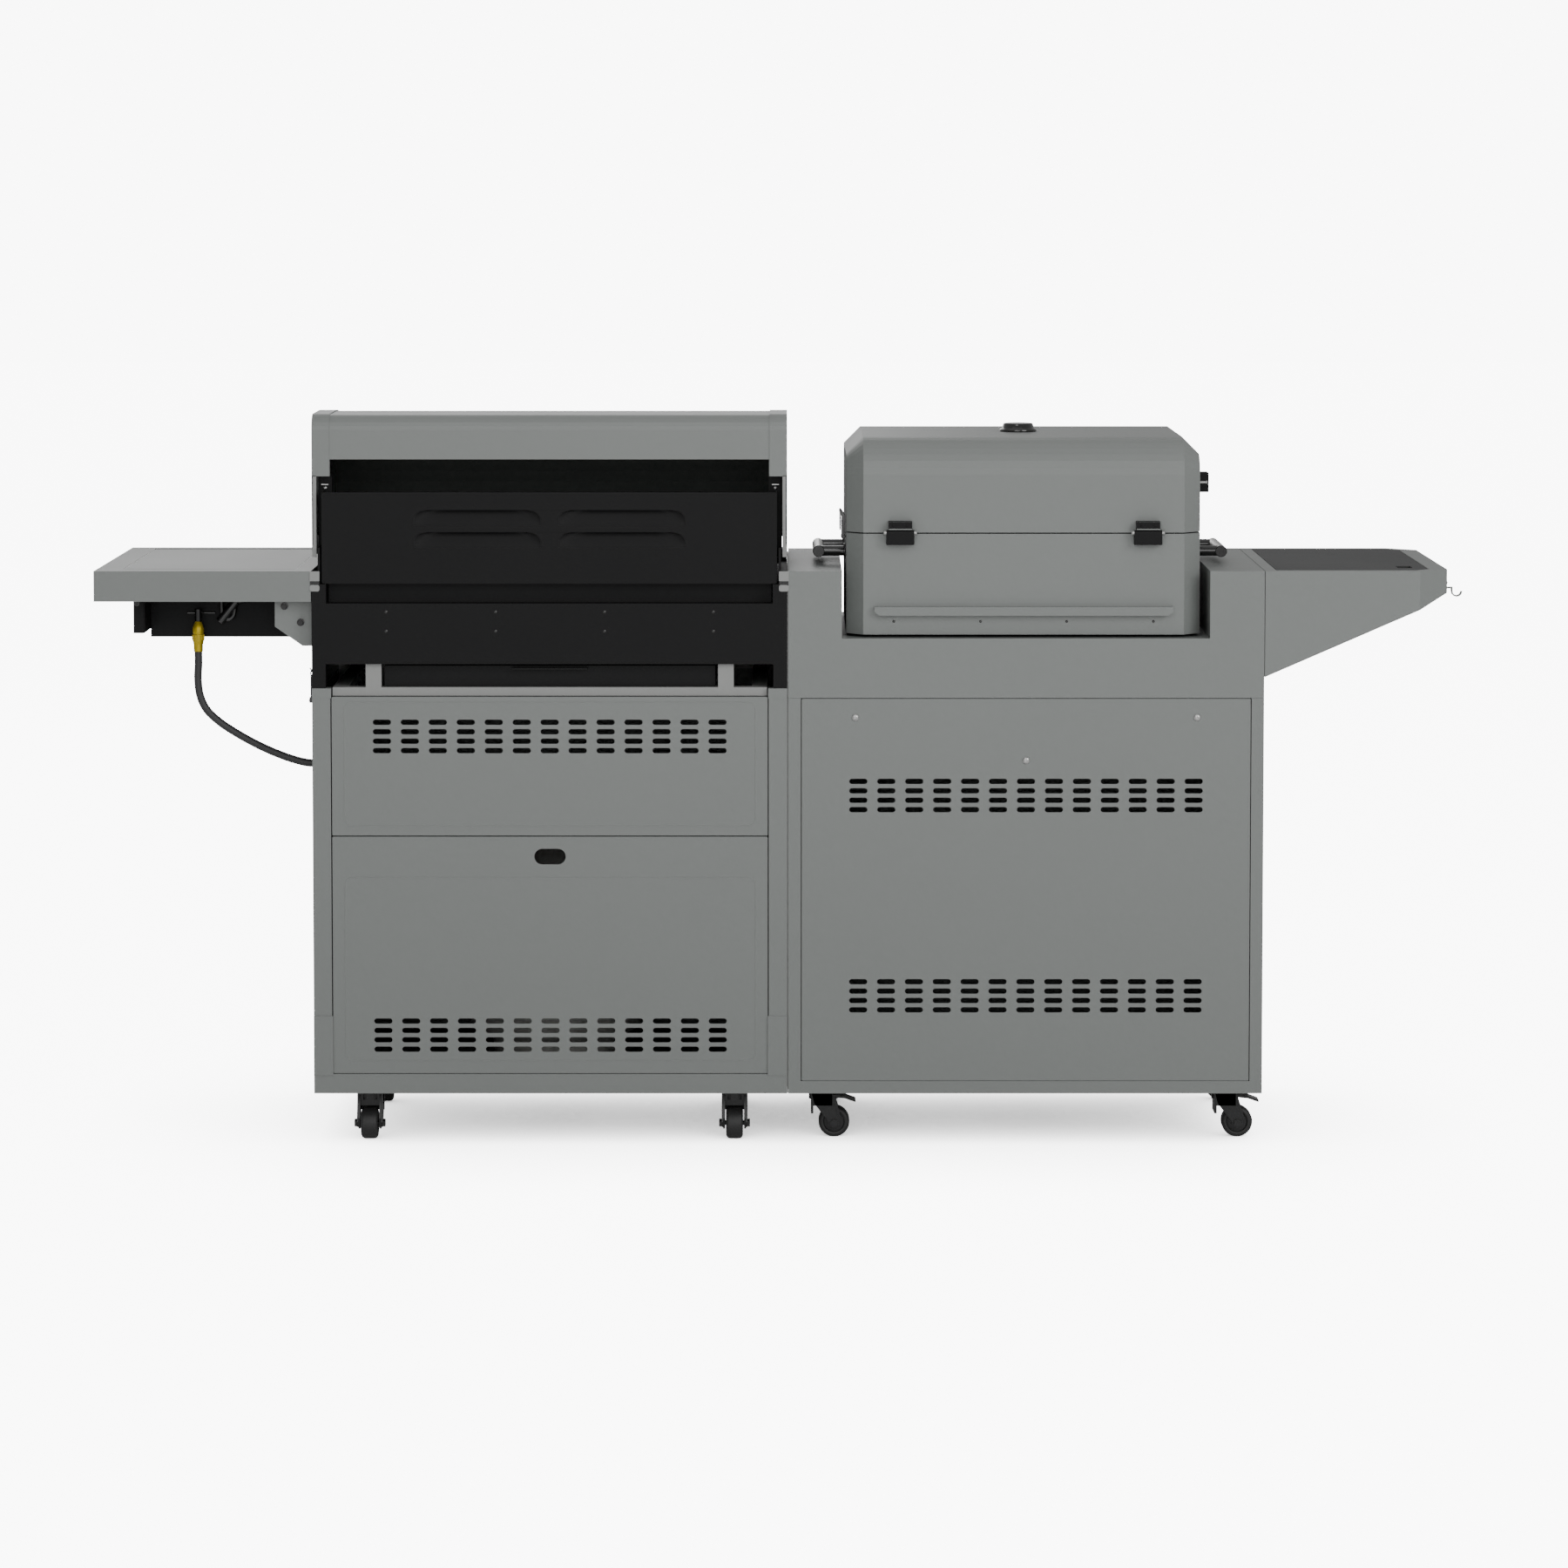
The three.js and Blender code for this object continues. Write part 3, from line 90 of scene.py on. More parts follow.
def soften(piece, bevel, segments=2, smooth=30):
    if bevel > 0:
        edge = piece.modifiers.new("softEdges", "BEVEL")
        edge.width = bevel
        edge.segments = segments
        edge.limit_method = "ANGLE"
        edge.angle_limit = math.radians(smooth)
        edge.harden_normals = True
    piece.data.polygons.foreach_set("use_smooth", [True] * len(piece.data.polygons))
    piece.data.set_sharp_from_angle(angle=math.radians(smooth))
    even = piece.modifiers.new("evenNormals", "WEIGHTED_NORMAL")
    even.keep_sharp = True


def fromBmesh(name, bm, shift=True):
    bmesh.ops.remove_doubles(bm, verts=bm.verts, dist=0.00001)
    bmesh.ops.recalc_face_normals(bm, faces=bm.faces)
    if shift:
        bmesh.ops.translate(bm, vec=origin, verts=bm.verts)
    mesh = bpy.data.meshes.new(name)
    bm.to_mesh(mesh)
    bm.free()
    return mesh


def addBox(bm, low, high):
    low, high = Vector(low), Vector(high)
    corners = [bm.verts.new((x, y, z)) for x in (low.x, high.x)
               for y in (low.y, high.y) for z in (low.z, high.z)]
    for face in ((0, 1, 3, 2), (4, 6, 7, 5), (0, 4, 5, 1), (2, 3, 7, 6), (0, 2, 6, 4), (1, 5, 7, 3)):
        bm.faces.new([corners[i] for i in face])


def axisFrame(axis, origin):
    # turns local Z to the given axis
    turn = Vector((0, 0, 1)).rotation_difference(Vector(axis)).to_matrix().to_4x4()
    return Matrix.Translation(Vector(origin)) @ turn


def addTurned(bm, profile, origin, axis=(0, 0, 1), sides=40):
    # a profile of (radius, height) turned about an axis through origin
    place = axisFrame(axis, origin)
    rings = []
    for radius, height in profile:
        if radius < 1e-7:
            rings.append([bm.verts.new(place @ Vector((0, 0, height)))])
            continue
        ring = []
        for i in range(sides):
            angle = 2 * math.pi * i / sides
            spot = Vector((radius * math.cos(angle), radius * math.sin(angle), height))
            ring.append(bm.verts.new(place @ spot))
        rings.append(ring)
    for one, two in zip(rings, rings[1:]):
        for i in range(sides):
            j = (i + 1) % sides
            if len(one) == 1 and len(two) == 1:
                continue
            if len(one) == 1:
                bm.faces.new((one[0], two[i], two[j]))
            elif len(two) == 1:
                bm.faces.new((one[i], one[j], two[0]))
            else:
                bm.faces.new((one[i], one[j], two[j], two[i]))


def addRod(bm, start, end, radius, sides=20, edge=0.0006):
    # a round bar with softly broken ends
    start, end = Vector(start), Vector(end)
    length = (end - start).length
    edge = min(edge, radius * 0.5, length * 0.25)
    profile = [(0, 0), (radius - edge, 0), (radius, edge), (radius, length - edge),
               (radius - edge, length), (0, length)]
    addTurned(bm, profile, start, end - start, sides)


def addPrism(bm, axis, outline, low, high):
    # an outline across an axis, extruded along it
    def point(u, v, w):
        return {"x": (w, u, v), "y": (u, w, v), "z": (u, v, w)}[axis]
    one = [bm.verts.new(point(u, v, low)) for u, v in outline]
    two = [bm.verts.new(point(u, v, high)) for u, v in outline]
    bm.faces.new(one)
    bm.faces.new(two)
    for i in range(len(outline)):
        j = (i + 1) % len(outline)
        bm.faces.new((one[i], one[j], two[j], two[i]))


def arcPoints(u, v, radius, start, end, steps):
    points = []
    for i in range(steps + 1):
        angle = math.radians(start + (end - start) * i / steps)
        points.append((u + radius * math.cos(angle), v + radius * math.sin(angle)))
    return points


def roundedBox(low, high, radius, steps=5):
    (u0, v0), (u1, v1) = low, high
    return (arcPoints(u1 - radius, v1 - radius, radius, 0, 90, steps)
            + arcPoints(u0 + radius, v1 - radius, radius, 90, 180, steps)
            + arcPoints(u0 + radius, v0 + radius, radius, 180, 270, steps)
            + arcPoints(u1 - radius, v0 + radius, radius, 270, 360, steps))


def stadium(u, v, width, height, steps=8):
    radius = height / 2
    half = width / 2 - radius
    return arcPoints(u + half, v, radius, -90, 90, steps) + arcPoints(u - half, v, radius, 90, 270, steps)


def cutSheet(name, loops, low, high, edge=0.0004):
    # a flat sheet standing across Y, its first loop the outline and the others holes, as a filled curve
    curve = bpy.data.curves.new(name, "CURVE")
    curve.dimensions = "2D"
    curve.fill_mode = "BOTH"
    curve.extrude = (high - low) / 2 - edge
    curve.bevel_depth = edge
    curve.bevel_resolution = 1
    curve.offset = -edge
    for loop in loops:
        spline = curve.splines.new("POLY")
        spline.points.add(len(loop) - 1)
        for point, (u, v) in zip(spline.points, loop):
            point.co = (u, v, 0, 1)
        spline.use_cyclic_u = True
    holder = bpy.data.objects.new(name, curve)
    bpy.context.scene.collection.objects.link(holder)
    depsgraph = bpy.context.evaluated_depsgraph_get()
    depsgraph.update()
    mesh = bpy.data.meshes.new_from_object(holder.evaluated_get(depsgraph))
    bpy.data.objects.remove(holder)
    bpy.data.curves.remove(curve)
    mesh.materials.clear()
    mesh.transform(Matrix(((1, 0, 0, 0), (0, 0, -1, (low + high) / 2), (0, 1, 0, 0), (0, 0, 0, 1))))
    return mesh


def addMesh(bm, mesh):
    bm.from_mesh(mesh)
    bpy.data.meshes.remove(mesh)


def addScrew(bm, place, axis, radius, height):
    # a domed head with a driver recess
    profile = [(0, height * 0.4), (radius * 0.3, height * 0.45), (radius * 0.36, height),
               (radius * 0.66, height * 0.86),
               (radius * 0.92, height * 0.5), (radius, height * 0.1), (radius, 0), (0, 0)]
    addTurned(bm, profile, place, axis, 24)


def addBolt(bm, place, axis, radius, height):
    # a hexagon head on a washer
    addTurned(bm, [(0, 0), (radius * 1.25, 0), (radius * 1.25, height * 0.2), (0, height * 0.2)], place,
              axis, 28)
    head = [(0, height * 0.2), (radius, height * 0.2), (radius, height * 0.88), (radius * 0.85, height),
            (0, height)]
    addTurned(bm, head, place, axis, 6)


def addLine(bm, loop, radius, y):
    # a raised line round a closed outline across Y
    rings = []
    count = len(loop)
    for i, (u, v) in enumerate(loop):
        before, after = loop[i - 1], loop[(i + 1) % count]
        ahead = Vector((after[0] - before[0], after[1] - before[1])).normalized()
        side = Vector((-ahead.y, ahead.x))
        ring = []
        for j in range(6):
            angle = 2 * math.pi * j / 6
            offset = side * radius * math.cos(angle)
            ring.append(bm.verts.new((u + offset.x, y + radius * math.sin(angle), v + offset.y)))
        rings.append(ring)
    for i in range(count):
        one, two = rings[i], rings[(i + 1) % count]
        for j in range(6):
            k = (j + 1) % 6
            bm.faces.new((one[j], one[k], two[k], two[j]))


def newGroup(name, inputs, outputs):
    tree = bpy.data.node_groups.new(name, "ShaderNodeTree")
    for label, kind, value in inputs:
        socket = tree.interface.new_socket(name=label, in_out="INPUT", socket_type=kind)
        socket.default_value = value
    for label, kind in outputs:
        tree.interface.new_socket(name=label, in_out="OUTPUT", socket_type=kind)
    return tree, tree.nodes.new("NodeGroupInput"), tree.nodes.new("NodeGroupOutput")


def mathNode(tree, operation, first, second=None, third=None, clamp=False):
    node = tree.nodes.new("ShaderNodeMath")
    node.operation = operation
    node.use_clamp = clamp
    for i, value in enumerate((first, second, third)):
        if value is None:
            continue
        if isinstance(value, (int, float)):
            node.inputs[i].default_value = value
        else:
            tree.links.new(value, node.inputs[i])
    return node.outputs[0]


def noiseNode(tree, vector, scale, detail=3, roughness=0.5):
    node = tree.nodes.new("ShaderNodeTexNoise")
    node.inputs["Detail"].default_value = detail
    node.inputs["Roughness"].default_value = roughness
    tree.links.new(vector, node.inputs["Vector"])
    if isinstance(scale, (int, float)):
        node.inputs["Scale"].default_value = scale
    else:
        tree.links.new(scale, node.inputs["Scale"])
    return node.outputs["Fac"]


def makePowderGrain():
    # the fine orange peel of a baked powder or spray coat
    tree, given, result = newGroup(
        "powderGrain",
        [("Grain", "NodeSocketFloat", 900.0), ("Peel", "NodeSocketFloat", 160.0),
         ("Roughness", "NodeSocketFloat", 0.45), ("Spread", "NodeSocketFloat", 0.08)],
        [("Height", "NodeSocketFloat"), ("Roughness", "NodeSocketFloat")])
    place = tree.nodes.new("ShaderNodeTexCoord").outputs["Object"]
    grain = noiseNode(tree, place, given.outputs["Grain"], 2)
    peel = noiseNode(tree, place, given.outputs["Peel"], 2)
    height = mathNode(tree, "MULTIPLY_ADD", grain, 0.45, mathNode(tree, "MULTIPLY", peel, 0.55))
    patch = noiseNode(tree, place, 7.0, 4)
    drift = mathNode(tree, "MULTIPLY", mathNode(tree, "SUBTRACT", patch, 0.5), given.outputs["Spread"])
    fine = mathNode(tree, "MULTIPLY", mathNode(tree, "SUBTRACT", grain, 0.5), given.outputs["Spread"])
    rough = mathNode(tree, "ADD", given.outputs["Roughness"], mathNode(tree, "ADD", drift, fine),
                     clamp=True)
    tree.links.new(height, result.inputs["Height"])
    tree.links.new(rough, result.inputs["Roughness"])
    return tree


def makeColourDrift():
    # slow light and dark patches, and a faint darkening towards the floor
    tree, given, result = newGroup(
        "colourDrift",
        [("Colour", "NodeSocketColor", (0.5, 0.5, 0.5, 1)), ("Amount", "NodeSocketFloat", 0.06),
         ("Low Shade", "NodeSocketFloat", 0.08)],
        [("Colour", "NodeSocketColor")])
    coordinates = tree.nodes.new("ShaderNodeTexCoord").outputs["Object"]
    split = tree.nodes.new("ShaderNodeSeparateXYZ")
    tree.links.new(coordinates, split.inputs[0])
    patch = noiseNode(tree, coordinates, 3.2, 4, 0.55)
    speck = noiseNode(tree, coordinates, 520.0, 2, 0.6)
    mixed = mathNode(tree, "ADD", mathNode(tree, "MULTIPLY", patch, 0.7),
                     mathNode(tree, "MULTIPLY", speck, 0.3))
    swing = mathNode(tree, "MULTIPLY", mathNode(tree, "SUBTRACT", mixed, 0.5), given.outputs["Amount"])
    lowness = tree.nodes.new("ShaderNodeMapRange")
    lowness.inputs["From Min"].default_value = 0.0
    lowness.inputs["From Max"].default_value = 0.75
    lowness.inputs["To Min"].default_value = 1.0
    lowness.inputs["To Max"].default_value = 0.0
    tree.links.new(split.outputs["Z"], lowness.inputs["Value"])
    shade = mathNode(tree, "MULTIPLY", lowness.outputs[0], given.outputs["Low Shade"])
    gain = mathNode(tree, "SUBTRACT", mathNode(tree, "ADD", 1.0, swing), shade)
    scale = tree.nodes.new("ShaderNodeVectorMath")
    scale.operation = "SCALE"
    tree.links.new(given.outputs["Colour"], scale.inputs[0])
    tree.links.new(gain, scale.inputs["Scale"])
    tree.links.new(scale.outputs[0], result.inputs["Colour"])
    return tree


def makeEdgeRub():
    # a thin broken mask along edges, where a coat is thinnest and hands rub it
    tree, given, result = newGroup(
        "edgeRub",
        [("Width", "NodeSocketFloat", 0.0012), ("Broken", "NodeSocketFloat", 0.6)],
        [("Mask", "NodeSocketFloat")])
    place = tree.nodes.new("ShaderNodeTexCoord").outputs["Object"]
    rounded = tree.nodes.new("ShaderNodeBevel")
    rounded.samples = 4
    tree.links.new(given.outputs["Width"], rounded.inputs["Radius"])
    flat = tree.nodes.new("ShaderNodeNewGeometry")
    dot = tree.nodes.new("ShaderNodeVectorMath")
    dot.operation = "DOT_PRODUCT"
    tree.links.new(rounded.outputs[0], dot.inputs[0])
    tree.links.new(flat.outputs["Normal"], dot.inputs[1])
    turn = mathNode(tree, "MULTIPLY", mathNode(tree, "SUBTRACT", 1.0, dot.outputs["Value"]), 4.0,
                    clamp=True)
    broken = mathNode(tree, "MULTIPLY", noiseNode(tree, place, 90.0, 4), given.outputs["Broken"])
    keep = mathNode(tree, "SUBTRACT", 1.0, broken, clamp=True)
    tree.links.new(mathNode(tree, "MULTIPLY", turn, keep), result.inputs["Mask"])
    return tree


def makeBrushLines():
    # the long fine scratches of brushed steel, running along X
    tree, given, result = newGroup(
        "brushLines",
        [("Length", "NodeSocketFloat", 12.0), ("Fineness", "NodeSocketFloat", 1400.0)],
        [("Height", "NodeSocketFloat"), ("Mask", "NodeSocketFloat")])
    place = tree.nodes.new("ShaderNodeTexCoord").outputs["Object"]
    split = tree.nodes.new("ShaderNodeSeparateXYZ")
    tree.links.new(place, split.inputs[0])
    join = tree.nodes.new("ShaderNodeCombineXYZ")
    tree.links.new(mathNode(tree, "MULTIPLY", split.outputs["X"], given.outputs["Length"]), join.inputs[0])
    tree.links.new(mathNode(tree, "MULTIPLY", split.outputs["Y"], given.outputs["Fineness"]),
                   join.inputs[1])
    tree.links.new(mathNode(tree, "MULTIPLY", split.outputs["Z"], given.outputs["Fineness"]),
                   join.inputs[2])
    lines = noiseNode(tree, join.outputs[0], 1.0, 3, 0.7)
    tree.links.new(lines, result.inputs["Height"])
    tree.links.new(lines, result.inputs["Mask"])
    return tree


def makeDustVeil():
    # a thin pale settling on faces that look up
    tree, given, result = newGroup(
        "dustVeil", [("Amount", "NodeSocketFloat", 0.1)], [("Mask", "NodeSocketFloat")])
    place = tree.nodes.new("ShaderNodeTexCoord").outputs["Object"]
    normal = tree.nodes.new("ShaderNodeNewGeometry")
    split = tree.nodes.new("ShaderNodeSeparateXYZ")
    tree.links.new(normal.outputs["Normal"], split.inputs[0])
    upward = mathNode(tree, "MULTIPLY", mathNode(tree, "SUBTRACT", split.outputs["Z"], 0.6), 2.5,
                      clamp=True)
    cloud = noiseNode(tree, place, 26.0, 6, 0.65)
    veil = mathNode(tree, "MULTIPLY", mathNode(tree, "MULTIPLY", upward, cloud), given.outputs["Amount"])
    tree.links.new(veil, result.inputs["Mask"])
    return tree


powderGrain = makePowderGrain()
colourDrift = makeColourDrift()
edgeRub = makeEdgeRub()
brushLines = makeBrushLines()
dustVeil = makeDustVeil()


def startMaterial(name):
    material = bpy.data.materials.new(name)
    material.use_nodes = True
    tree = material.node_tree
    return material, tree, tree.nodes["Principled BSDF"]


def groupNode(tree, group, **values):
    node = tree.nodes.new("ShaderNodeGroup")
    node.node_tree = group
    for label, value in values.items():
        node.inputs[label.replace("_", " ")].default_value = value
    return node


def mixColour(tree, mask, first, second):
    node = tree.nodes.new("ShaderNodeMix")
    node.data_type = "RGBA"
    for socket, value in ((node.inputs["A"], first), (node.inputs["B"], second)):
        if isinstance(value, tuple):
            socket.default_value = value
        else:
            tree.links.new(value, socket)
    tree.links.new(mask, node.inputs["Factor"])
    return node.outputs["Result"]


def bumpFrom(tree, shader, height, strength, distance):
    bump = tree.nodes.new("ShaderNodeBump")
    bump.inputs["Strength"].default_value = strength
    bump.inputs["Distance"].default_value = distance
    tree.links.new(height, bump.inputs["Height"])
    tree.links.new(bump.outputs[0], shader.inputs["Normal"])


def coatedMaterial(name, look):
    # painted, powder coated or moulded: grain, drift, rubbed edges and a little dust
    material, tree, shader = startMaterial(name)
    grain = groupNode(tree, powderGrain, Grain=look["grain"], Peel=look["peel"],
                      Roughness=look["roughness"], Spread=look["spread"])
    drift = groupNode(tree, colourDrift, Colour=(*look["colour"], 1), Amount=look["drift"],
                      Low_Shade=look["lowShade"])
    rub = groupNode(tree, edgeRub, Width=look["edgeWidth"], Broken=0.7)
    dust = groupNode(tree, dustVeil, Amount=look["dust"])
    edged = mixColour(tree, mathNode(tree, "MULTIPLY", rub.outputs["Mask"], look["edge"]),
                      drift.outputs["Colour"], (*look["edgeColour"], 1))
    dusted = mixColour(tree, dust.outputs["Mask"], edged, (0.42, 0.41, 0.39, 1))
    tree.links.new(dusted, shader.inputs["Base Color"])
    rough = mathNode(tree, "ADD", grain.outputs["Roughness"],
                     mathNode(tree, "MULTIPLY", dust.outputs["Mask"], 0.4),
                     clamp=True)
    tree.links.new(rough, shader.inputs["Roughness"])
    shader.inputs["Metallic"].default_value = look.get("metal", 0.0)
    shader.inputs["Specular IOR Level"].default_value = look.get("specular", 0.5)
    shader.inputs["Coat Weight"].default_value = look.get("coat", 0.0)
    shader.inputs["Coat Roughness"].default_value = look.get("coatRoughness", 0.2)
    bumpFrom(tree, shader, grain.outputs["Height"], look["bump"], look["bumpDepth"])
    return material


def brushedMaterial(name, look):
    material, tree, shader = startMaterial(name)
    lines = groupNode(tree, brushLines, Length=look["length"], Fineness=look["fineness"])
    dark = tuple(0.78 * value for value in look["colour"])
    tree.links.new(mixColour(tree, lines.outputs["Mask"], (*dark, 1), (*look["colour"], 1)),
                   shader.inputs["Base Color"])
    rough = mathNode(tree, "MULTIPLY_ADD", lines.outputs["Mask"], look["spread"], look["roughness"],
                     clamp=True)
    tree.links.new(rough, shader.inputs["Roughness"])
    shader.inputs["Metallic"].default_value = 1.0
    bumpFrom(tree, shader, lines.outputs["Height"], look["bump"], 0.0002)
    return material


def coat(colour, roughness, **more):
    look = {"colour": colour, "roughness": roughness, "grain": 900.0, "peel": 170.0, "spread": 0.08,
            "drift": 0.05, "lowShade": 0.0, "edgeWidth": 0.0012, "edge": 0.25,
            "edgeColour": tuple(min(1, 1.6 * c + 0.02) for c in colour),
            "dust": 0.04, "bump": 0.12, "bumpDepth": 0.0004}
    look.update(more)
    return look


finishes = {
    "powder_gray": coatedMaterial("powderGray", coat((0.195, 0.207, 0.2), 0.42, lowShade=0.1, edge=0.3)),
    "zinc_gray": coatedMaterial("zincGray", coat((0.27, 0.275, 0.268), 0.4)),
    "charcoal_black": coatedMaterial("charcoalBlack", coat((0.008, 0.008, 0.0083), 0.5, edge=0.3, dust=0.01,
                                                          specular=0.16)),
    "knob_plastic": coatedMaterial("knobPlastic", coat((0.012, 0.012, 0.012), 0.38, grain=1600.0,
                                                       bump=0.2)),
    "board_plastic": coatedMaterial("boardPlastic", coat((0.034, 0.035, 0.035), 0.6, grain=700.0,
                                                         peel=340.0,
                                                         bump=0.35, specular=0.3, dust=0.02)),
    "gloss_black": coatedMaterial("glossBlack", coat((0.006, 0.006, 0.006), 0.16, coat=0.6,
                                                     coatRoughness=0.05, bump=0.05)),
    "handle_steel": brushedMaterial("brushedSteel", {"colour": (0.6, 0.6, 0.585), "roughness": 0.2,
                                                     "spread": 0.16,
                                                     "length": 14.0, "fineness": 1500.0, "bump": 0.12}),
    "grate_iron": coatedMaterial("grateIron", coat((0.016, 0.0155, 0.015), 0.72, grain=420.0, peel=260.0,
                                                   bump=0.6,
                                                   bumpDepth=0.0008, metal=0.3)),
    "cylinder_paint": coatedMaterial("cylinderPaint", coat((0.5, 0.5, 0.48), 0.35, bump=0.1, coat=0.3)),
    "hose_rubber": coatedMaterial("hoseRubber", coat((0.034, 0.034, 0.035), 0.52, grain=1300.0, peel=420.0,
                                                     bump=0.3)),
    "yellow_fitting": coatedMaterial("yellowBrass", coat((0.55, 0.4, 0.012), 0.33, metal=0.55, edge=0.5,
                                                         edgeColour=(0.8, 0.68, 0.2), bump=0.15)),
    "caster_black": coatedMaterial("casterBlack", coat((0.01, 0.01, 0.0105), 0.34, edge=0.5)),
    "caster_tread": coatedMaterial("casterTread", coat((0.017, 0.017, 0.017), 0.55, grain=600.0, bump=0.3)),
}
screwSteel = brushedMaterial("screwSteel", {"colour": (0.55, 0.55, 0.54), "roughness": 0.26, "spread": 0.2,
                                            "length": 300.0, "fineness": 900.0, "bump": 0.1})
print("materials", len(finishes))


def dressFrame():
    # the CAD nodes that stay keep their shape, with softly broken edges and the finish of their slot
    slots = {part["node"]: part["material_slot"] for part in frame["record"]["subparts"]}
    for name, node in frame["nodes"].items():
        node.data.materials.clear()
        node.data.materials.append(finishes[slots[name]])
        soften(node, 0.0006, 2)


makeCamera()
dressFrame()
print("frame dressed", len(frame["nodes"]))

hoseLook = {
    "route": [(0.956, -0.120, 0.784), (0.956, -0.120, 0.764), (0.957, -0.120, 0.740),
              (0.954, -0.120, 0.714), (0.944, -0.120, 0.691), (0.924, -0.120, 0.671),
              (0.896, -0.120, 0.652), (0.860, -0.120, 0.632), (0.824, -0.120, 0.616),
              (0.797, -0.120, 0.607), (0.779, -0.120, 0.603), (0.7656, -0.120, 0.603)],
    "radius": 0.00635, "steps": 8, "sides": 24, "slot": "hose_rubber",
}


def smoothRoute(points, steps):
    # a Catmull-Rom curve through the points, as short straight steps
    padded = [2 * points[0] - points[1], *points, 2 * points[-1] - points[-2]]
    line = []
    for a, b, c, d in zip(padded, padded[1:], padded[2:], padded[3:]):
        for i in range(steps):
            t = i / steps
            line.append(0.5 * (2 * b + (c - a) * t + (2 * a - 5 * b + 4 * c - d) * t * t
                               + (3 * b - a - 3 * c + d) * t * t * t))
    return [*line, points[-1]]


def addTube(bm, line, radius, sides):
    rings = []
    side = Vector((0, 1, 0))
    for i, point in enumerate(line):
        ahead = (line[min(i + 1, len(line) - 1)] - line[max(i - 1, 0)]).normalized()
        up = ahead.cross(side).normalized()
        side = up.cross(ahead).normalized()
        ring = []
        for j in range(sides):
            angle = 2 * math.pi * j / sides
            ring.append(bm.verts.new(point + radius * (math.cos(angle) * side + math.sin(angle) * up)))
        rings.append(ring)
    for one, two in zip(rings, rings[1:]):
        for i in range(sides):
            j = (i + 1) % sides
            bm.faces.new((one[i], one[j], two[j], two[i]))
    bm.faces.new(rings[0])
    bm.faces.new(rings[-1])


def makeHose():
    look = hoseLook
    line = smoothRoute([at(*point) for point in look["route"]], look["steps"])
    bm = bmesh.new()
    addTube(bm, line, look["radius"], look["sides"])
    hose = newPiece("gasHose", bm, look["slot"], "kitchen", smooth=50, shift=False)
    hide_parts("gas_hose")


makeHose()

ventLook = {
    "slot": (0.029, 0.0084), "pitch": (0.04475, 0.0152), "columns": 13, "rows": 4, "corner": 0.002,
    "face": -0.001, "sheet": 0.002, "back": -0.013, "line": 0.0011, "lineCorner": 0.012,
    "panels": {
        "grill_back_upper": {"vents": (0.6596,), "lines": ((0.052, 0.516, 0.710, 0.715),), "hole": None},
        "grill_back_lower": {"vents": (0.1773,), "lines": ((0.052, 0.137, 0.710, 0.433),),
                             "hole": (0.466, 0.05, 0.025)},
        "cabinet_back": {"vents": (0.5645, 0.241), "lines": (), "hole": None},
    },
}


def makeVentPanels():
    look = ventLook
    for node, panel in look["panels"].items():
        low, high = boxOf(node)
        middle = (low.x + high.x) / 2
        outline = roundedBox((low.x, low.z), (high.x, high.z), look["corner"])
        loops = [outline]
        for z in panel["vents"]:
            for row in range(look["rows"]):
                for column in range(look["columns"]):
                    u = middle + (column - (look["columns"] - 1) / 2) * look["pitch"][0]
                    v = z + (row - (look["rows"] - 1) / 2) * look["pitch"][1]
                    loops.append(stadium(u, v, *look["slot"]))
        if panel["hole"]:
            z, width, height = panel["hole"]
            loops.append(stadium(middle, z, width, height, 12))
        bm = bmesh.new()
        addMesh(bm, cutSheet(node + "Face", loops, look["face"] - look["sheet"], look["face"], 0.0005))
        inner = roundedBox((low.x + 0.002, low.z + 0.002), (high.x - 0.002, high.z - 0.002), 0.001)
        addMesh(bm, cutSheet(node + "Edge", [outline, inner], look["back"], look["face"] - 0.001))
        for x0, z0, x1, z1 in panel["lines"]:
            addLine(bm, roundedBox((x0, z0), (x1, z1), look["lineCorner"], 8), look["line"],
                    look["face"] - 0.0006)
        piece = newPiece(node + "Panel", bm, "powder_gray", "kitchen")
        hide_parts(node)


makeVentPanels()

fastenerLook = {
    "backScrews": ((-0.108, 0.690), (-0.655, 0.690), (-0.3815, 0.621)), "backRadius": 0.0058,
    "backHeight": 0.0026, "plateX": (0.746, 0.016), "plateZ": (0.201, 0.1364), "plateRadius": 0.0058,
    "plateSlot": (0.1603, 0.037, 0.0074),
    "rivetX": (0.642, 0.467, 0.293, 0.119), "rivetZ": (0.860, 0.829), "rivetRadius": 0.0026,
}


def makeFasteners():
    look = fastenerLook
    bright = bmesh.new()
    for x, z in look["backScrews"]:
        addScrew(bright, (x, -0.001, z), (0, 1, 0), look["backRadius"], look["backHeight"])
    newPiece("rearPanelScrews", bright, "handle_steel", "kitchen", smooth=40, material=screwSteel)
    dark = bmesh.new()
    for x in look["plateX"]:
        for z in look["plateZ"]:
            addScrew(dark, (x, -0.0012, z), (0, 1, 0), look["plateRadius"], 0.0026)
    for x in look["rivetX"]:
        for z in look["rivetZ"]:
            radius = look["rivetRadius"]
            addTurned(dark, [(0, 0.0012), (radius * 0.6, 0.001), (radius, 0.0002), (radius, -0.0005),
                             (0, -0.0005)],
                      (x, 0, z), (0, 1, 0), 20)
    newPiece("blackScrews", dark, "gloss_black", "kitchen", smooth=40)
    plate = bmesh.new()
    for x in look["plateX"]:
        z, height, width = look["plateSlot"]
        loop = [(x + v, z + u) for u, v in stadium(0, 0, height, width)]
        addLine(plate, loop, 0.0008, 0.0007)
    newPiece("cornerPlateLines", plate, "powder_gray", "kitchen")


makeFasteners()
print("rear panels")

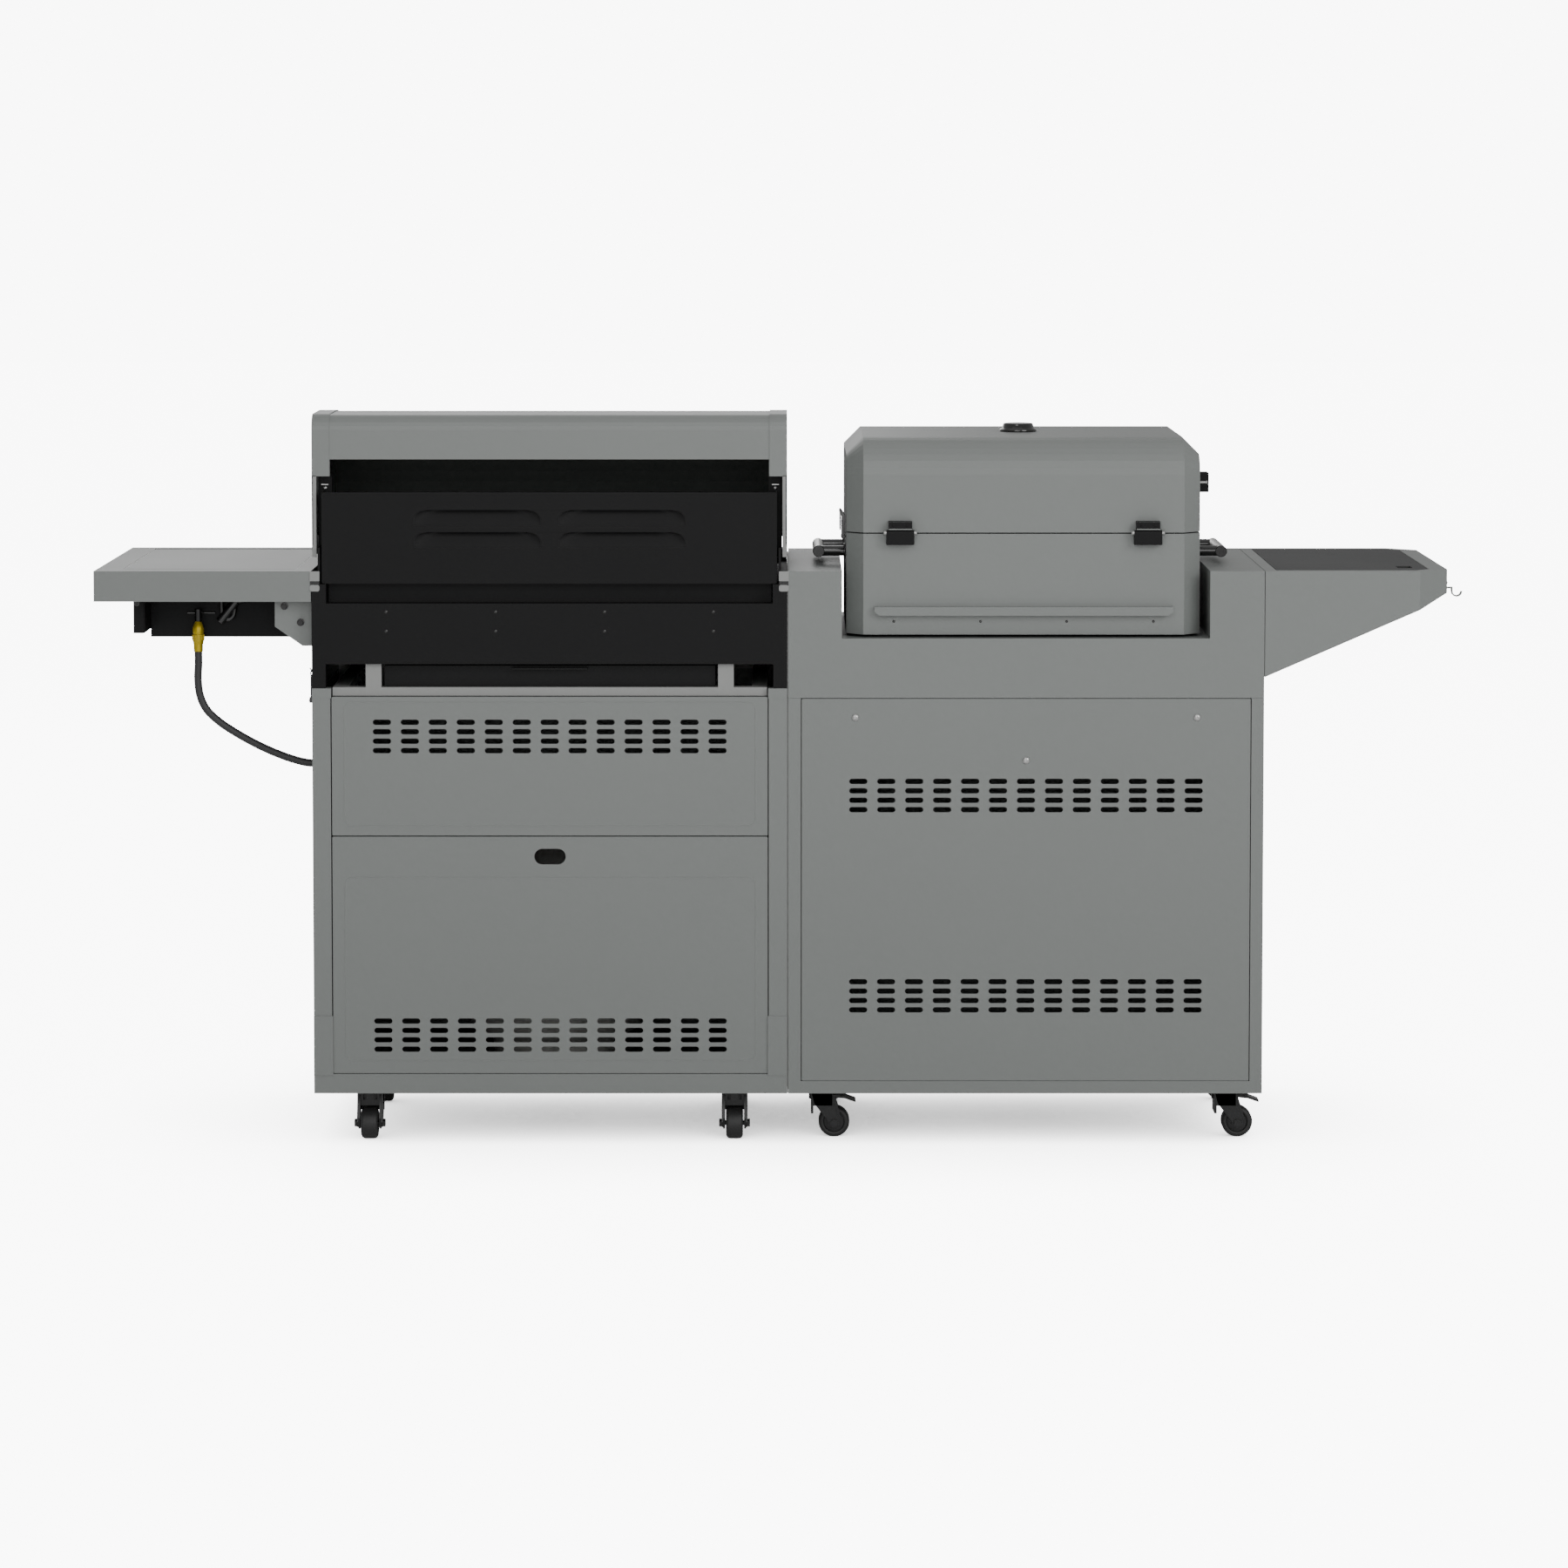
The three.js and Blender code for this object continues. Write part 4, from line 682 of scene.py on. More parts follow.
# rear heat shield, its louvres and the clips at its ends
shieldLook = {
    "sheet": 0.002, "corner": 0.004, "bottom": 0.9043, "top": 1.051, "rear": -0.003,
    "pivot": (-0.060, 0.985), "louvreWidth": 0.202, "louvreHeight": 0.0245, "louvreDepth": 0.009,
    "louvreX": (0.496, 0.265), "louvreZ": (0.9625, 0.998), "round": 0.36, "columns": 40, "rows": 10,
    "earX": (0.7315, 0.0093), "earWidth": 0.0212, "earY": -0.045, "earTop": 1.077,
    "cornerX": (0.7475, 0.0108), "cornerWidth": 0.0037, "cornerY": (-0.104, -0.006),
    "cornerZ": (0.9045, 0.962),
}


def louvreHalf(v):
    # half the louvre's width at a share of its height, rounded off towards the top
    look = shieldLook
    rounding = max(0, (v - look["round"]) / (1 - look["round"]))
    return look["louvreWidth"] / 2 - 0.021 * (1 - math.sqrt(max(0, 1 - rounding * rounding)))


def makeShield():
    look = shieldLook
    low, high = boxOf("firebox_shield")
    x0, x1 = low.x + 0.0132, high.x - 0.0132
    bottom, top, rear = look["bottom"], look["top"], look["rear"]
    pivotY, pivotZ = look["pivot"]
    loops = [roundedBox((x0, bottom), (x1, top), look["corner"])]
    bm = bmesh.new()
    for x in look["louvreX"]:
        for z in look["louvreZ"]:
            shares = [i / look["rows"] for i in range(look["rows"] + 1)]
            right = [(x + louvreHalf(v), z + v * look["louvreHeight"]) for v in shares]
            left = [(x - louvreHalf(v), z + v * look["louvreHeight"]) for v in reversed(shares)]
            loops.append(right + left)
            grid = []
            for v in shares:
                row = []
                for i in range(look["columns"] + 1):
                    u = 2 * i / look["columns"] - 1
                    depth = look["louvreDepth"] * v * (1 - abs(u) ** 10)
                    row.append(bm.verts.new((x + u * louvreHalf(v), rear - 0.0012 - depth,
                                             z + v * look["louvreHeight"])))
                grid.append(row)
            for one, two in zip(grid, grid[1:]):
                for i in range(look["columns"]):
                    bm.faces.new((one[i], one[i + 1], two[i + 1], two[i]))
    addMesh(bm, cutSheet("shieldFace", loops, rear - look["sheet"], rear, 0.0006))
    for x in (x0, x1 - 0.002):
        addBox(bm, (x, low.y, 0.942), (x + 0.002, rear - 0.001, top))
    for x in (x0, x1):
        outward = 1 if x == x1 else -1
        addRod(bm, (x - outward * 0.002, pivotY, pivotZ), (x + outward * 0.0112, pivotY, pivotZ), 0.006)
    for x in look["earX"]:
        outer = roundedBox((x, 0.945), (x + look["earWidth"], look["earTop"]), 0.005)
        addPrism(bm, "y", outer, look["earY"] - 0.002, look["earY"])
    (y0, y1), (z0, z1) = look["cornerY"], look["cornerZ"]
    for x in look["cornerX"]:
        addBox(bm, (x, y0, z0), (x + look["cornerWidth"], y1, z1))
    piece = newPiece("rearShield", bm, "charcoal_black", "kitchen")
    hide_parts("firebox_shield")
    tabs = bmesh.new()
    for x in look["earX"]:
        middle = x + look["earWidth"] / 2
        addBox(tabs, (middle - 0.0055, look["earY"], 1.0605),
               (middle + 0.0055, look["earY"] + 0.006, 1.062))
        addScrew(tabs, (middle, look["earY"], 1.0555), (0, 1, 0), 0.0034, 0.002)
    newPiece("earTabs", tabs, "handle_steel", "kitchen", smooth=40, material=screwSteel)


makeShield()

clipLook = {
    "ends": ((0.7478, 0.7637), (-0.0017, 0.0142)), "z": (0.8925, 0.902, 0.909, 0.925), "corner": 0.0035,
    "sidePlates": (0.7575, 0.0025),
}


def makeClips():
    look = clipLook
    bm = bmesh.new()
    z0, z1, z2, z3 = look["z"]
    for x0, x1 in look["ends"]:
        addPrism(bm, "y", roundedBox((x0, z2), (x1, z3), 0.001), 0.0001, 0.0014)
        addPrism(bm, "y", roundedBox((x0, z0), (x1, z1 + 0.001), look["corner"]), 0.0001, 0.0013)
    addBox(bm, (-0.00095, -0.455, 0.0832), (0.00095, -0.003, 0.921))
    newPiece("endClips", bm, "zinc_gray", "kitchen", 0.0003)
    darkPartsAndShadeBand = bmesh.new()
    # a black band between each clip's top plate and lower lip, painted shade in the shallow gap between them
    for x0, x1 in look["ends"]:
        addBox(darkPartsAndShadeBand, (x0 + 0.0005, 0.0001, z1 - 0.004), (x1 - 0.0005, 0.0006, z2 + 0.001))
    addBox(darkPartsAndShadeBand, (0.034, -0.0125, 0.7234), (0.728, -0.009, 0.7243))
    for x in look["sidePlates"]:
        addBox(darkPartsAndShadeBand, (x, -0.448, 0.7225), (x + 0.0014, -0.023, 0.7757))
    addBox(darkPartsAndShadeBand, (0.7614, -0.016, 0.722), (0.7642, -0.009, 0.757))
    addPrism(darkPartsAndShadeBand, "y", [(0.7614, 0.713), (0.7655, 0.713), (0.7668, 0.7165), (0.7655, 0.722),
                         (0.7614, 0.722)], -0.017, -0.008)
    line = smoothRoute([Vector((0.7628, -0.0125, 0.755)), Vector((0.7640, -0.0125, 0.7605)),
                        Vector((0.7628, -0.0125, 0.7645)), Vector((0.7652, -0.0125, 0.769))], 5)
    addTube(darkPartsAndShadeBand, line, 0.0011, 10)
    newPiece("darkStrips", darkPartsAndShadeBand, "gloss_black", "kitchen", 0.0003)


makeClips()
print("shield and clips")

smokerLook = {
    "hingeX": (-0.57575, -0.17975), "pivotY": -0.006, "pivotZ": 0.986, "knuckle": 0.0045,
    "plateHalf": 0.0223, "plateLow": 0.9668, "leafHalf": 0.0188, "leafLow": 0.9907, "leafHigh": 1.0045,
    "ledgeScrewX": (-0.58575, -0.44675, -0.30875, -0.16975), "ledgeScrewZ": 0.843,
    "capProfile": ((0, 0.0003), (0.0300, 0.0003), (0.0305, 0.0008), (0.0305, 0.0030), (0.0296, 0.0042),
                   (0.0262, 0.0060), (0.0246, 0.0118), (0.0232, 0.0135), (0.0120, 0.0130), (0, 0.0128)),
}


def makeSmokerHinges():
    look = smokerLook
    y, z = look["pivotY"], look["pivotZ"]
    wall = -0.0178
    plates, leaves, pins = bmesh.new(), bmesh.new(), bmesh.new()
    for x in look["hingeX"]:
        knuckle = arcPoints(y, z, look["knuckle"], 0, 180, 10)
        outline = [(wall, look["plateLow"]), (y + 0.0035, look["plateLow"]),
                   (y + 0.0045, look["plateLow"] + 0.001),
                   *knuckle, (wall, z - 0.001)]
        addPrism(plates, "x", outline, x - look["plateHalf"], x + look["plateHalf"])
        leaf = [(wall, look["leafLow"]), (y + 0.0004, look["leafLow"]),
                (y + 0.0043, look["leafLow"] + 0.0022),
                (y + 0.0043, look["leafHigh"] - 0.001),
                (y + 0.0033, look["leafHigh"]), (wall, look["leafHigh"])]
        addPrism(leaves, "x", leaf, x - look["leafHalf"], x + look["leafHalf"])
        for side in (-1, 1):
            start = x + side * look["plateHalf"]
            addTurned(pins, [(0, 0), (0.0034, 0), (0.0034, 0.0022), (0.0042, 0.0026), (0.0042, 0.0036),
                             (0.0030, 0.0046), (0, 0.0048)], (start, y, z), (side, 0, 0), 20)
            addScrew(leaves, (x + side * 0.011, y + 0.0043, 0.9975), (0, 1, 0), 0.0024, 0.0009)
    newPiece("hingePlates", plates, "charcoal_black", "smoker", 0.0006, 3)
    newPiece("hingeLeaves", leaves, "charcoal_black", "smoker_lid", 0.0004)
    newPiece("hingePins", pins, "handle_steel", "smoker", smooth=40, material=screwSteel)


def makeVentCap():
    low, high = boxOf("smoker_vent_cap")
    middle = (low + high) / 2
    bm = bmesh.new()
    addTurned(bm, smokerLook["capProfile"], (middle.x, middle.y, low.z - 0.0003), (0, 0, 1), 64)
    piece = newPiece("ventCap", bm, "gloss_black", "smoker_vent_cap", smooth=50)
    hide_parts("smoker_vent_cap")


def makeLedgeScrews():
    bm = bmesh.new()
    for x in smokerLook["ledgeScrewX"]:
        addScrew(bm, (x, -0.018, smokerLook["ledgeScrewZ"]), (0, 1, 0), 0.0022, 0.0012)
    newPiece("ledgeScrews", bm, "gloss_black", "smoker", smooth=40)


makeSmokerHinges()
makeVentCap()
makeLedgeScrews()

carryLook = {"barRadius": 0.0095, "discThickness": 0.003, "postRadius": 0.0085, "postSpacing": 0.140,
             "flange": 0.0125}


def makeCarryHandles():
    look = carryLook
    for node in ("carry_handle_inner", "carry_handle_outer"):
        low, high = boxOf(node)
        inner = node.endswith("inner")
        x = high.x - look["barRadius"] if inner else low.x + look["barRadius"]
        wall = low.x if inner else high.x
        z = (low.z + high.z) / 2
        middle = (low.y + high.y) / 2
        bar, black = bmesh.new(), bmesh.new()
        addRod(bar, (x, low.y + look["discThickness"], z), (x, high.y - look["discThickness"], z),
               look["barRadius"], 40)
        for y, away in ((low.y, 1), (high.y, -1)):
            addRod(black, (x, y, z), (x, y + away * look["discThickness"], z), look["barRadius"], 40,
                   0.0008)
        for side in (-1, 1):
            y = middle + side * look["postSpacing"] / 2
            direction = 1 if inner else -1
            addRod(black, (wall, y, z), (x - direction * 0.004, y, z), look["postRadius"], 32)
            addRod(black, (wall, y, z), (wall + direction * 0.003, y, z), look["flange"], 32, 0.001)
        piece = newPiece(node + "Bar", bar, "handle_steel", "smoker")
        newPiece(node + "Ends", black, "gloss_black", "smoker")
        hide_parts(node)


makeCarryHandles()

lidFittingLook = {
    "low": (-0.6814, -0.1504, 1.0436), "high": (-0.6618, -0.1186, 1.0754), "corner": 0.0012,
    "pinRadius": 0.0026, "washer": 0.0034, "washerX": (-0.6794, -0.6663), "proud": 0.0005,
}


def makeLidBracket():
    # a square black bracket with a bright pin across its window
    look = lidFittingLook
    (x0, y0, z0), (x1, y1, z1) = look["low"], look["high"]
    black, pin = bmesh.new(), bmesh.new()
    addPrism(black, "y", roundedBox((x0, z0), (x1, z1), look["corner"]), y0, y1)
    newPiece("lidBracket", black, "charcoal_black", "smoker_lid", 0.0005)
    y, z = y1 - look["proud"], (z0 + z1) / 2
    for x in look["washerX"]:
        addRod(pin, (x, y, z), (x + 0.0025, y, z), look["washer"], 20, 0.0004)
    addRod(pin, (x0 + 0.003, y, z), (x1 - 0.0025, y, z), look["pinRadius"], 20)
    newPiece("lidBracketPin", pin, "handle_steel", "smoker_lid", material=screwSteel)


def makeLatch():
    low, high = boxOf("smoker_latch")
    lever, loop = bmesh.new(), bmesh.new()
    x0 = low.x + 0.001
    outline = [(x0, low.z + 0.003), (x0 + 0.0030, low.z + 0.0018), (x0 + 0.006, low.z + 0.003),
               (x0 + 0.006, high.z - 0.012), (x0 + 0.0098, high.z - 0.004), (x0 + 0.0090, high.z),
               (x0 + 0.0066, high.z - 0.0008), (x0, high.z - 0.010)]
    addPrism(lever, "y", outline, low.y + 0.004, high.y - 0.004)
    addRod(lever, (x0 + 0.003, low.y, 0.974), (x0 + 0.003, high.y, 0.974), 0.0038)
    piece = newPiece("latchLever", lever, "gloss_black", "smoker_latch", 0.0007)
    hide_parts("smoker_latch")
    line = [Vector((x0 + 0.0078, low.y + 0.002, 0.985)), Vector((x0 + 0.0078, low.y + 0.002, 1.010)),
            Vector((x0 + 0.0078, low.y + 0.006, 1.0145)), Vector((x0 + 0.0078, high.y - 0.006, 1.0145)),
            Vector((x0 + 0.0078, high.y - 0.002, 1.010)), Vector((x0 + 0.0078, high.y - 0.002, 0.985))]
    addTube(loop, smoothRoute(line, 5), 0.0013, 12)
    newPiece("latchLoop", loop, "handle_steel", "smoker_latch", material=screwSteel)


def makeBarHandle(node, body, ends, postInset, postRadius):
    # a round bar on two posts, closed by black caps
    low, high = boxOf(node)
    radius = (high.z - low.z) / 2
    y, z = low.y + radius, (low.z + high.z) / 2
    bar, black = bmesh.new(), bmesh.new()
    addRod(bar, (low.x + ends, y, z), (high.x - ends, y, z), radius, 40)
    for x, away in ((low.x, 1), (high.x, -1)):
        addRod(black, (x, y, z), (x + away * ends, y, z), radius, 40, 0.0012)
        post = x + away * postInset
        addRod(black, (post, y + 0.002, z), (post, high.y - 0.0004, z), postRadius, 32)
        addRod(black, (post, high.y - 0.004, z), (post, high.y - 0.0004, z), postRadius * 1.35, 32, 0.001)
    piece = newPiece(node + "Bar", bar, "handle_steel", body)
    newPiece(node + "Posts", black, "gloss_black", body)
    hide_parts(node)


makeLidBracket()
makeLatch()
makeBarHandle("smoker_lid_handle", "smoker_lid", 0.004, 0.028, 0.006)
print("smoker fittings")

hoodLook = {
    "barRadius": 0.011, "barZ": 1.0, "postRadius": 0.009, "postInset": 0.045, "postEnd": -0.4552,
    "ends": 0.006,
    "dialPlace": (0.381, -0.4022, 1.0852), "dialAxis": (0, -0.697, 0.717), "dialRadius": 0.034,
    "flangeX": (0.7535, 0.0014), "flangeWidth": 0.0071, "flangeY": (-0.0152, -0.0140),
    "flangeZ": (0.9465, 1.0775),
}


def makeHoodHandle():
    look = hoodLook
    low, high = boxOf("hood_handle")
    radius = look["barRadius"]
    y, z = low.y + radius, look["barZ"]
    bar, black = bmesh.new(), bmesh.new()
    addRod(bar, (low.x + look["ends"], y, z), (high.x - look["ends"], y, z), radius, 48)
    for x, away in ((low.x, 1), (high.x, -1)):
        addRod(black, (x, y, z), (x + away * look["ends"], y, z), radius, 48, 0.0015)
        post = x + away * look["postInset"]
        addRod(black, (post, y + 0.002, z), (post, look["postEnd"], z), look["postRadius"], 32)
        addRod(black, (post, look["postEnd"] - 0.006, z), (post, look["postEnd"], z),
               look["postRadius"] * 1.4, 32, 0.001)
    piece = newPiece("hoodBar", bar, "handle_steel", "hood")
    newPiece("hoodPosts", black, "gloss_black", "hood")
    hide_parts("hood_handle")


def makeHoodFlanges():
    bm = bmesh.new()
    look = hoodLook
    (y0, y1), (z0, z1) = look["flangeY"], look["flangeZ"]
    for x in look["flangeX"]:
        addBox(bm, (x, y0, z0), (x + look["flangeWidth"], y1, z1))
    newPiece("hoodFlanges", bm, "zinc_gray", "hood", 0.0003)


def makeThermometer():
    look = hoodLook
    radius = look["dialRadius"]
    rim, face = bmesh.new(), bmesh.new()
    addTurned(rim, [(radius - 0.004, 0.004), (radius - 0.003, 0.0078), (radius - 0.001, 0.0082),
                    (radius, 0.007),
                    (radius, -0.001), (radius - 0.004, -0.001), (radius - 0.004, 0.004)],
              look["dialPlace"], look["dialAxis"], 64)
    newPiece("dialRim", rim, "handle_steel", "hood", smooth=40)
    addTurned(face, [(0, 0.005), (radius - 0.0035, 0.005), (radius - 0.0035, 0.001), (0, 0.001)],
              look["dialPlace"], look["dialAxis"], 64)
    newPiece("dialFace", face, "cylinder_paint", "hood")
    marks = bmesh.new()
    frameMatrix = axisFrame(look["dialAxis"], look["dialPlace"])
    for i in range(13):
        angle = math.radians(-120 + i * 20)
        spoke = frameMatrix @ Matrix.Rotation(angle, 4, "Z")
        width = 0.0009 if i % 3 else 0.0014
        before = len(marks.verts)
        addBox(marks, (-width / 2, radius - 0.0105, 0.005), (width / 2, radius - 0.006, 0.0053))
        marks.verts.ensure_lookup_table()
        bmesh.ops.transform(marks, matrix=spoke, verts=marks.verts[before:])
    before = len(marks.verts)
    addPrism(marks, "z", [(-0.0014, -0.006), (0.0014, -0.006), (0.0004, 0.021), (-0.0004, 0.021)], 0.0055,
             0.0062)
    addTurned(marks, [(0, 0.0072), (0.0026, 0.0068), (0.003, 0.005), (0, 0.005)], (0, 0, 0), (0, 0, 1), 24)
    marks.verts.ensure_lookup_table()
    bmesh.ops.transform(marks, matrix=frameMatrix @ Matrix.Rotation(2.0, 4, "Z"),
                        verts=marks.verts[before:])
    newPiece("dialMarks", marks, "knob_plastic", "hood")


makeHoodHandle()
makeThermometer()
makeHoodFlanges()
print("hood fittings")

doorLook = {"barRadius": 0.006, "barInset": 0.034, "barReach": 0.030, "top": 0.070, "length": 0.180,
            "post": 0.005,
            "thickness": 0.016}


def makeDoors():
    look = doorLook
    hinges = {"grill_door_outer": 1, "grill_door_inner": -1, "cabinet_door_inner": 1,
              "cabinet_door_outer": -1}
    for node, side in hinges.items():
        low, high = boxOf(node)
        face = high.y - look["thickness"]
        z0, z1 = low.z + 0.003, high.z - 0.003
        half = look["thickness"] / 2
        hinge, free = (high.x, low.x) if side > 0 else (low.x, high.x)
        arc = arcPoints(0, 0, half, -90, 90, 12)
        plan = [(hinge - side * half + side * u, face + half + v) for u, v in arc]
        plan += [(free, high.y), (free, face)]
        slab = bmesh.new()
        addPrism(slab, "z", plan, z0, z1)
        pin = hinge - side * half
        for a, b in ((low.z, z0 + 0.001), (z1 - 0.001, high.z)):
            addRod(slab, (pin, face + half, a), (pin, face + half, b), 0.003)
        piece = newPiece(node + "Slab", slab, "powder_gray", node, 0.0012, 3)
        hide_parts(node)
        handle = bmesh.new()
        x = free + side * look["barInset"]
        top = z1 - look["top"]
        y = face - look["barReach"]
        addRod(handle, (x, y, top - look["length"]), (x, y, top), look["barRadius"], 32, 0.0012)
        for z in (top - look["length"] + 0.020, top - 0.020):
            addRod(handle, (x, y, z), (x, face, z), look["post"], 24)
            addRod(handle, (x, face - 0.002, z), (x, face, z), look["post"] * 1.6, 24, 0.0005)
        newPiece(node + "Handle", handle, "handle_steel", node)


makeDoors()
print("doors")

knobLook = {"radius": 0.027, "height": 0.034, "smallRadius": 0.020, "smallHeight": 0.026, "bezel": 0.0065,
            "smallBezel": 0.003}


def makeKnob(node, joint, radius, height, bezel):
    spin = Vector(joint["axis"]).normalized()
    place = Vector(joint["pos_m"])
    base = axisFrame(spin, place)
    grip = radius * 0.80
    body = bmesh.new()
    profile = [(0, 0.0003), (radius - 0.0008, 0.0003), (radius, 0.0012), (radius, 0.0042),
               (radius - 0.0012, 0.0058), (grip + 0.0008, 0.0070), (grip, 0.0085),
               (grip - 0.0012, height * 0.56), (grip - 0.0030, height * 0.60), (0, height * 0.60)]
    addTurned(body, profile, (0, 0, 0), (0, 0, 1), 64)
    bar = roundedBox((-0.0048, -grip + 0.0012), (0.0048, grip - 0.0012), 0.0035)
    addPrism(body, "z", bar, 0.006, height)
    for i in range(24):
        angle = 2 * math.pi * i / 24
        addRod(body, (grip * math.cos(angle), grip * math.sin(angle), 0.0078),
               (grip * math.cos(angle), grip * math.sin(angle), height * 0.54), 0.0011, 8)
    bmesh.ops.transform(body, matrix=base, verts=body.verts)
    piece = newPiece(node + "Body", body, "knob_plastic", node, 0.0005, shift=False)
    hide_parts(node)
    mark = bmesh.new()
    addBox(mark, (-0.0009, grip * 0.15, height - 0.0002), (0.0009, grip - 0.002, height + 0.0003))
    bmesh.ops.transform(mark, matrix=base, verts=mark.verts)
    newPiece(node + "Mark", mark, "cylinder_paint", node, shift=False)
    ring = bmesh.new()
    wide = radius + bezel
    addTurned(ring, [(radius - 0.004, 0.00005), (wide, 0.00005), (wide - 0.0004, 0.0009),
                     (radius + 0.0015, 0.0015), (radius + 0.0004, 0.0011),
                     (radius + 0.0004, 0.0002), (radius - 0.004, 0.0002),
                     (radius - 0.004, 0.00005)], (0, 0, 0), (0, 0, 1), 64)
    bmesh.ops.transform(ring, matrix=base, verts=ring.verts)
    newPiece(node + "Bezel", ring, "handle_steel", "kitchen", smooth=40, shift=False)


def makeKnobs():
    look = knobLook
    joints = {joint["name"]: joint for joint in frame["joints"]}
    for i in range(4):
        node = f"burner_knob_{i + 1}"
        makeKnob(node, joints[node + "_turn"], look["radius"], look["height"], look["bezel"])
    makeKnob("side_burner_knob", joints["side_burner_knob_turn"], look["smallRadius"], look["smallHeight"],
             look["smallBezel"])


makeKnobs()
print("knobs")

# side burner, its fitting, the shelf's fixings, and black strips in the lid's seams as painted shade
burnerLook = {
    "place": (0.927, -0.280), "ringRadius": 0.062, "ringZ": 0.868, "grateZ": 0.9035,
    "grateHalf": 0.100, "grateBar": 0.0034, "ports": 40, "pan": 0.8225,
    "bolts": (((0.7805, -0.0239, 0.841), 0.0048, 0.004), ((0.8065, -0.0239, 0.867), 0.0048, 0.004),
              ((1.0475, -0.0579, 0.868), 0.0036, 0.003)),
    "lidSeamShade": ((0.7872, -0.4520, 1.0668, -0.4508, 0.9256), (0.7872, -0.4505, 0.7892, -0.0370, 0.9249),
                (1.0648, -0.4505, 1.0668, -0.0370, 0.9249)),
}


def makeSideBurner():
    look = burnerLook
    x, y = look["place"]
    ring = bmesh.new()
    profile = [(look["ringRadius"] - 0.020, -0.006), (look["ringRadius"], -0.010),
               (look["ringRadius"] + 0.004, 0.004),
               (look["ringRadius"] - 0.003, 0.012), (look["ringRadius"] - 0.014, 0.013),
               (look["ringRadius"] - 0.020, 0.008), (look["ringRadius"] - 0.020, -0.006)]
    addTurned(ring, profile, (x, y, look["ringZ"]), (0, 0, 1), 64)
    addRod(ring, (x, y + 0.050, look["ringZ"] - 0.002), (x, -0.1424, look["ringZ"] - 0.002), 0.009)
    addRod(ring, (x, y, look["pan"]), (x, y, look["ringZ"]), 0.012)
    for i in range(4):
        angle = math.radians(45 + 90 * i)
        arm = look["ringRadius"] - 0.018
        tip = (x + arm * math.cos(angle), y + arm * math.sin(angle), look["ringZ"])
        addRod(ring, (x, y, look["ringZ"]), tip, 0.005)
    for i in range(look["ports"]):
        angle = 2 * math.pi * i / look["ports"]
        u, v = math.cos(angle), math.sin(angle)
        radius = look["ringRadius"] + 0.0035
        addRod(ring, (x + radius * u, y + radius * v, look["ringZ"]),
               (x + (radius + 0.001) * u, y + (radius + 0.001) * v, look["ringZ"]), 0.0014, 8, 0.0002)
    newPiece("sideBurnerRing", ring, "grate_iron", "kitchen", 0.0006)
    grate = bmesh.new()
    half, bar, z = look["grateHalf"], look["grateBar"], look["grateZ"]
    for u in (-half, half):
        addRod(grate, (x + u, y - half, z), (x + u, y + half, z), bar)
        addRod(grate, (x - half, y + u, z), (x + half, y + u, z), bar)
    for u in (-0.045, 0.045):
        addRod(grate, (x - half, y + u, z), (x - 0.022, y + u, z), bar)
        addRod(grate, (x + 0.022, y + u, z), (x + half, y + u, z), bar)
        addRod(grate, (x + u, y - half, z), (x + u, y - 0.022, z), bar)
        addRod(grate, (x + u, y + 0.022, z), (x + u, y + half, z), bar)
    for u in (-half, half):
        for v in (-half, half):
            addRod(grate, (x + u, y + v, look["pan"]), (x + u, y + v, z), bar)
    newPiece("sideBurnerGrate", grate, "grate_iron", "kitchen")


gasLineLook = {
    "elbow": ((0.922, -0.131, 0.832), (0.894, -0.131, 0.868), (0.862, -0.131, 0.874)),
    "elbowRadius": 0.0075, "loopRadius": 0.0042, "bar": ((0.976, -0.139, 0.846), (0.930, -0.139, 0.846)),
    "loop": ((0.919, -0.132, 0.875), (0.919, -0.132, 0.853), (0.916, -0.132, 0.841),
             (0.9085, -0.132, 0.836), (0.901, -0.132, 0.841), (0.898, -0.132, 0.853),
             (0.898, -0.132, 0.875)),
}


def makeGasLine():
    low, high = boxOf("hose_fitting")
    x, y, z = hoseLook["route"][0]
    yellow, dark = bmesh.new(), bmesh.new()
    profile = [(0, z + 0.0003), (0.0066, z + 0.0003), (0.0074, z + 0.001), (0.0076, z + 0.0125),
               (0.0082, z + 0.0135),
               (0.0086, z + 0.0165), (0.0095, z + 0.019), (0.0095, z + 0.0285), (0.0088, z + 0.0292),
               (0.0088, z + 0.0308), (0.0093, z + 0.0315), (0.0091, z + 0.038), (0.0078, z + 0.043),
               (0.0056, z + 0.0475), (0.0045, z + 0.0505), (0, z + 0.0505)]
    addTurned(yellow, profile, (x, y, 0), (0, 0, 1), 40)
    for i in range(16):
        angle = 2 * math.pi * i / 16
        u, v = x + 0.0094 * math.cos(angle), y + 0.0094 * math.sin(angle)
        addRod(yellow, (u, v, z + 0.0195), (u, v, z + 0.028), 0.0008, 8, 0.0002)
    piece = newPiece("hoseFitting", yellow, "yellow_fitting", "kitchen", smooth=40)
    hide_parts("hose_fitting")
    addRod(dark, (x, y, z + 0.0495), (x, y, high.z), 0.0056)
    addRod(dark, (x, low.y, z + 0.064), (x, y, z + 0.064), 0.0048)
    look = gasLineLook
    for start, end in zip(look["elbow"], look["elbow"][1:]):
        addRod(dark, start, end, look["elbowRadius"])
    addTube(dark, smoothRoute([Vector(point) for point in look["loop"]], 5), look["loopRadius"], 16)
    addRod(dark, *look["bar"], 0.0022)
    newPiece("gasLine", dark, "gloss_black", "kitchen", smooth=40)


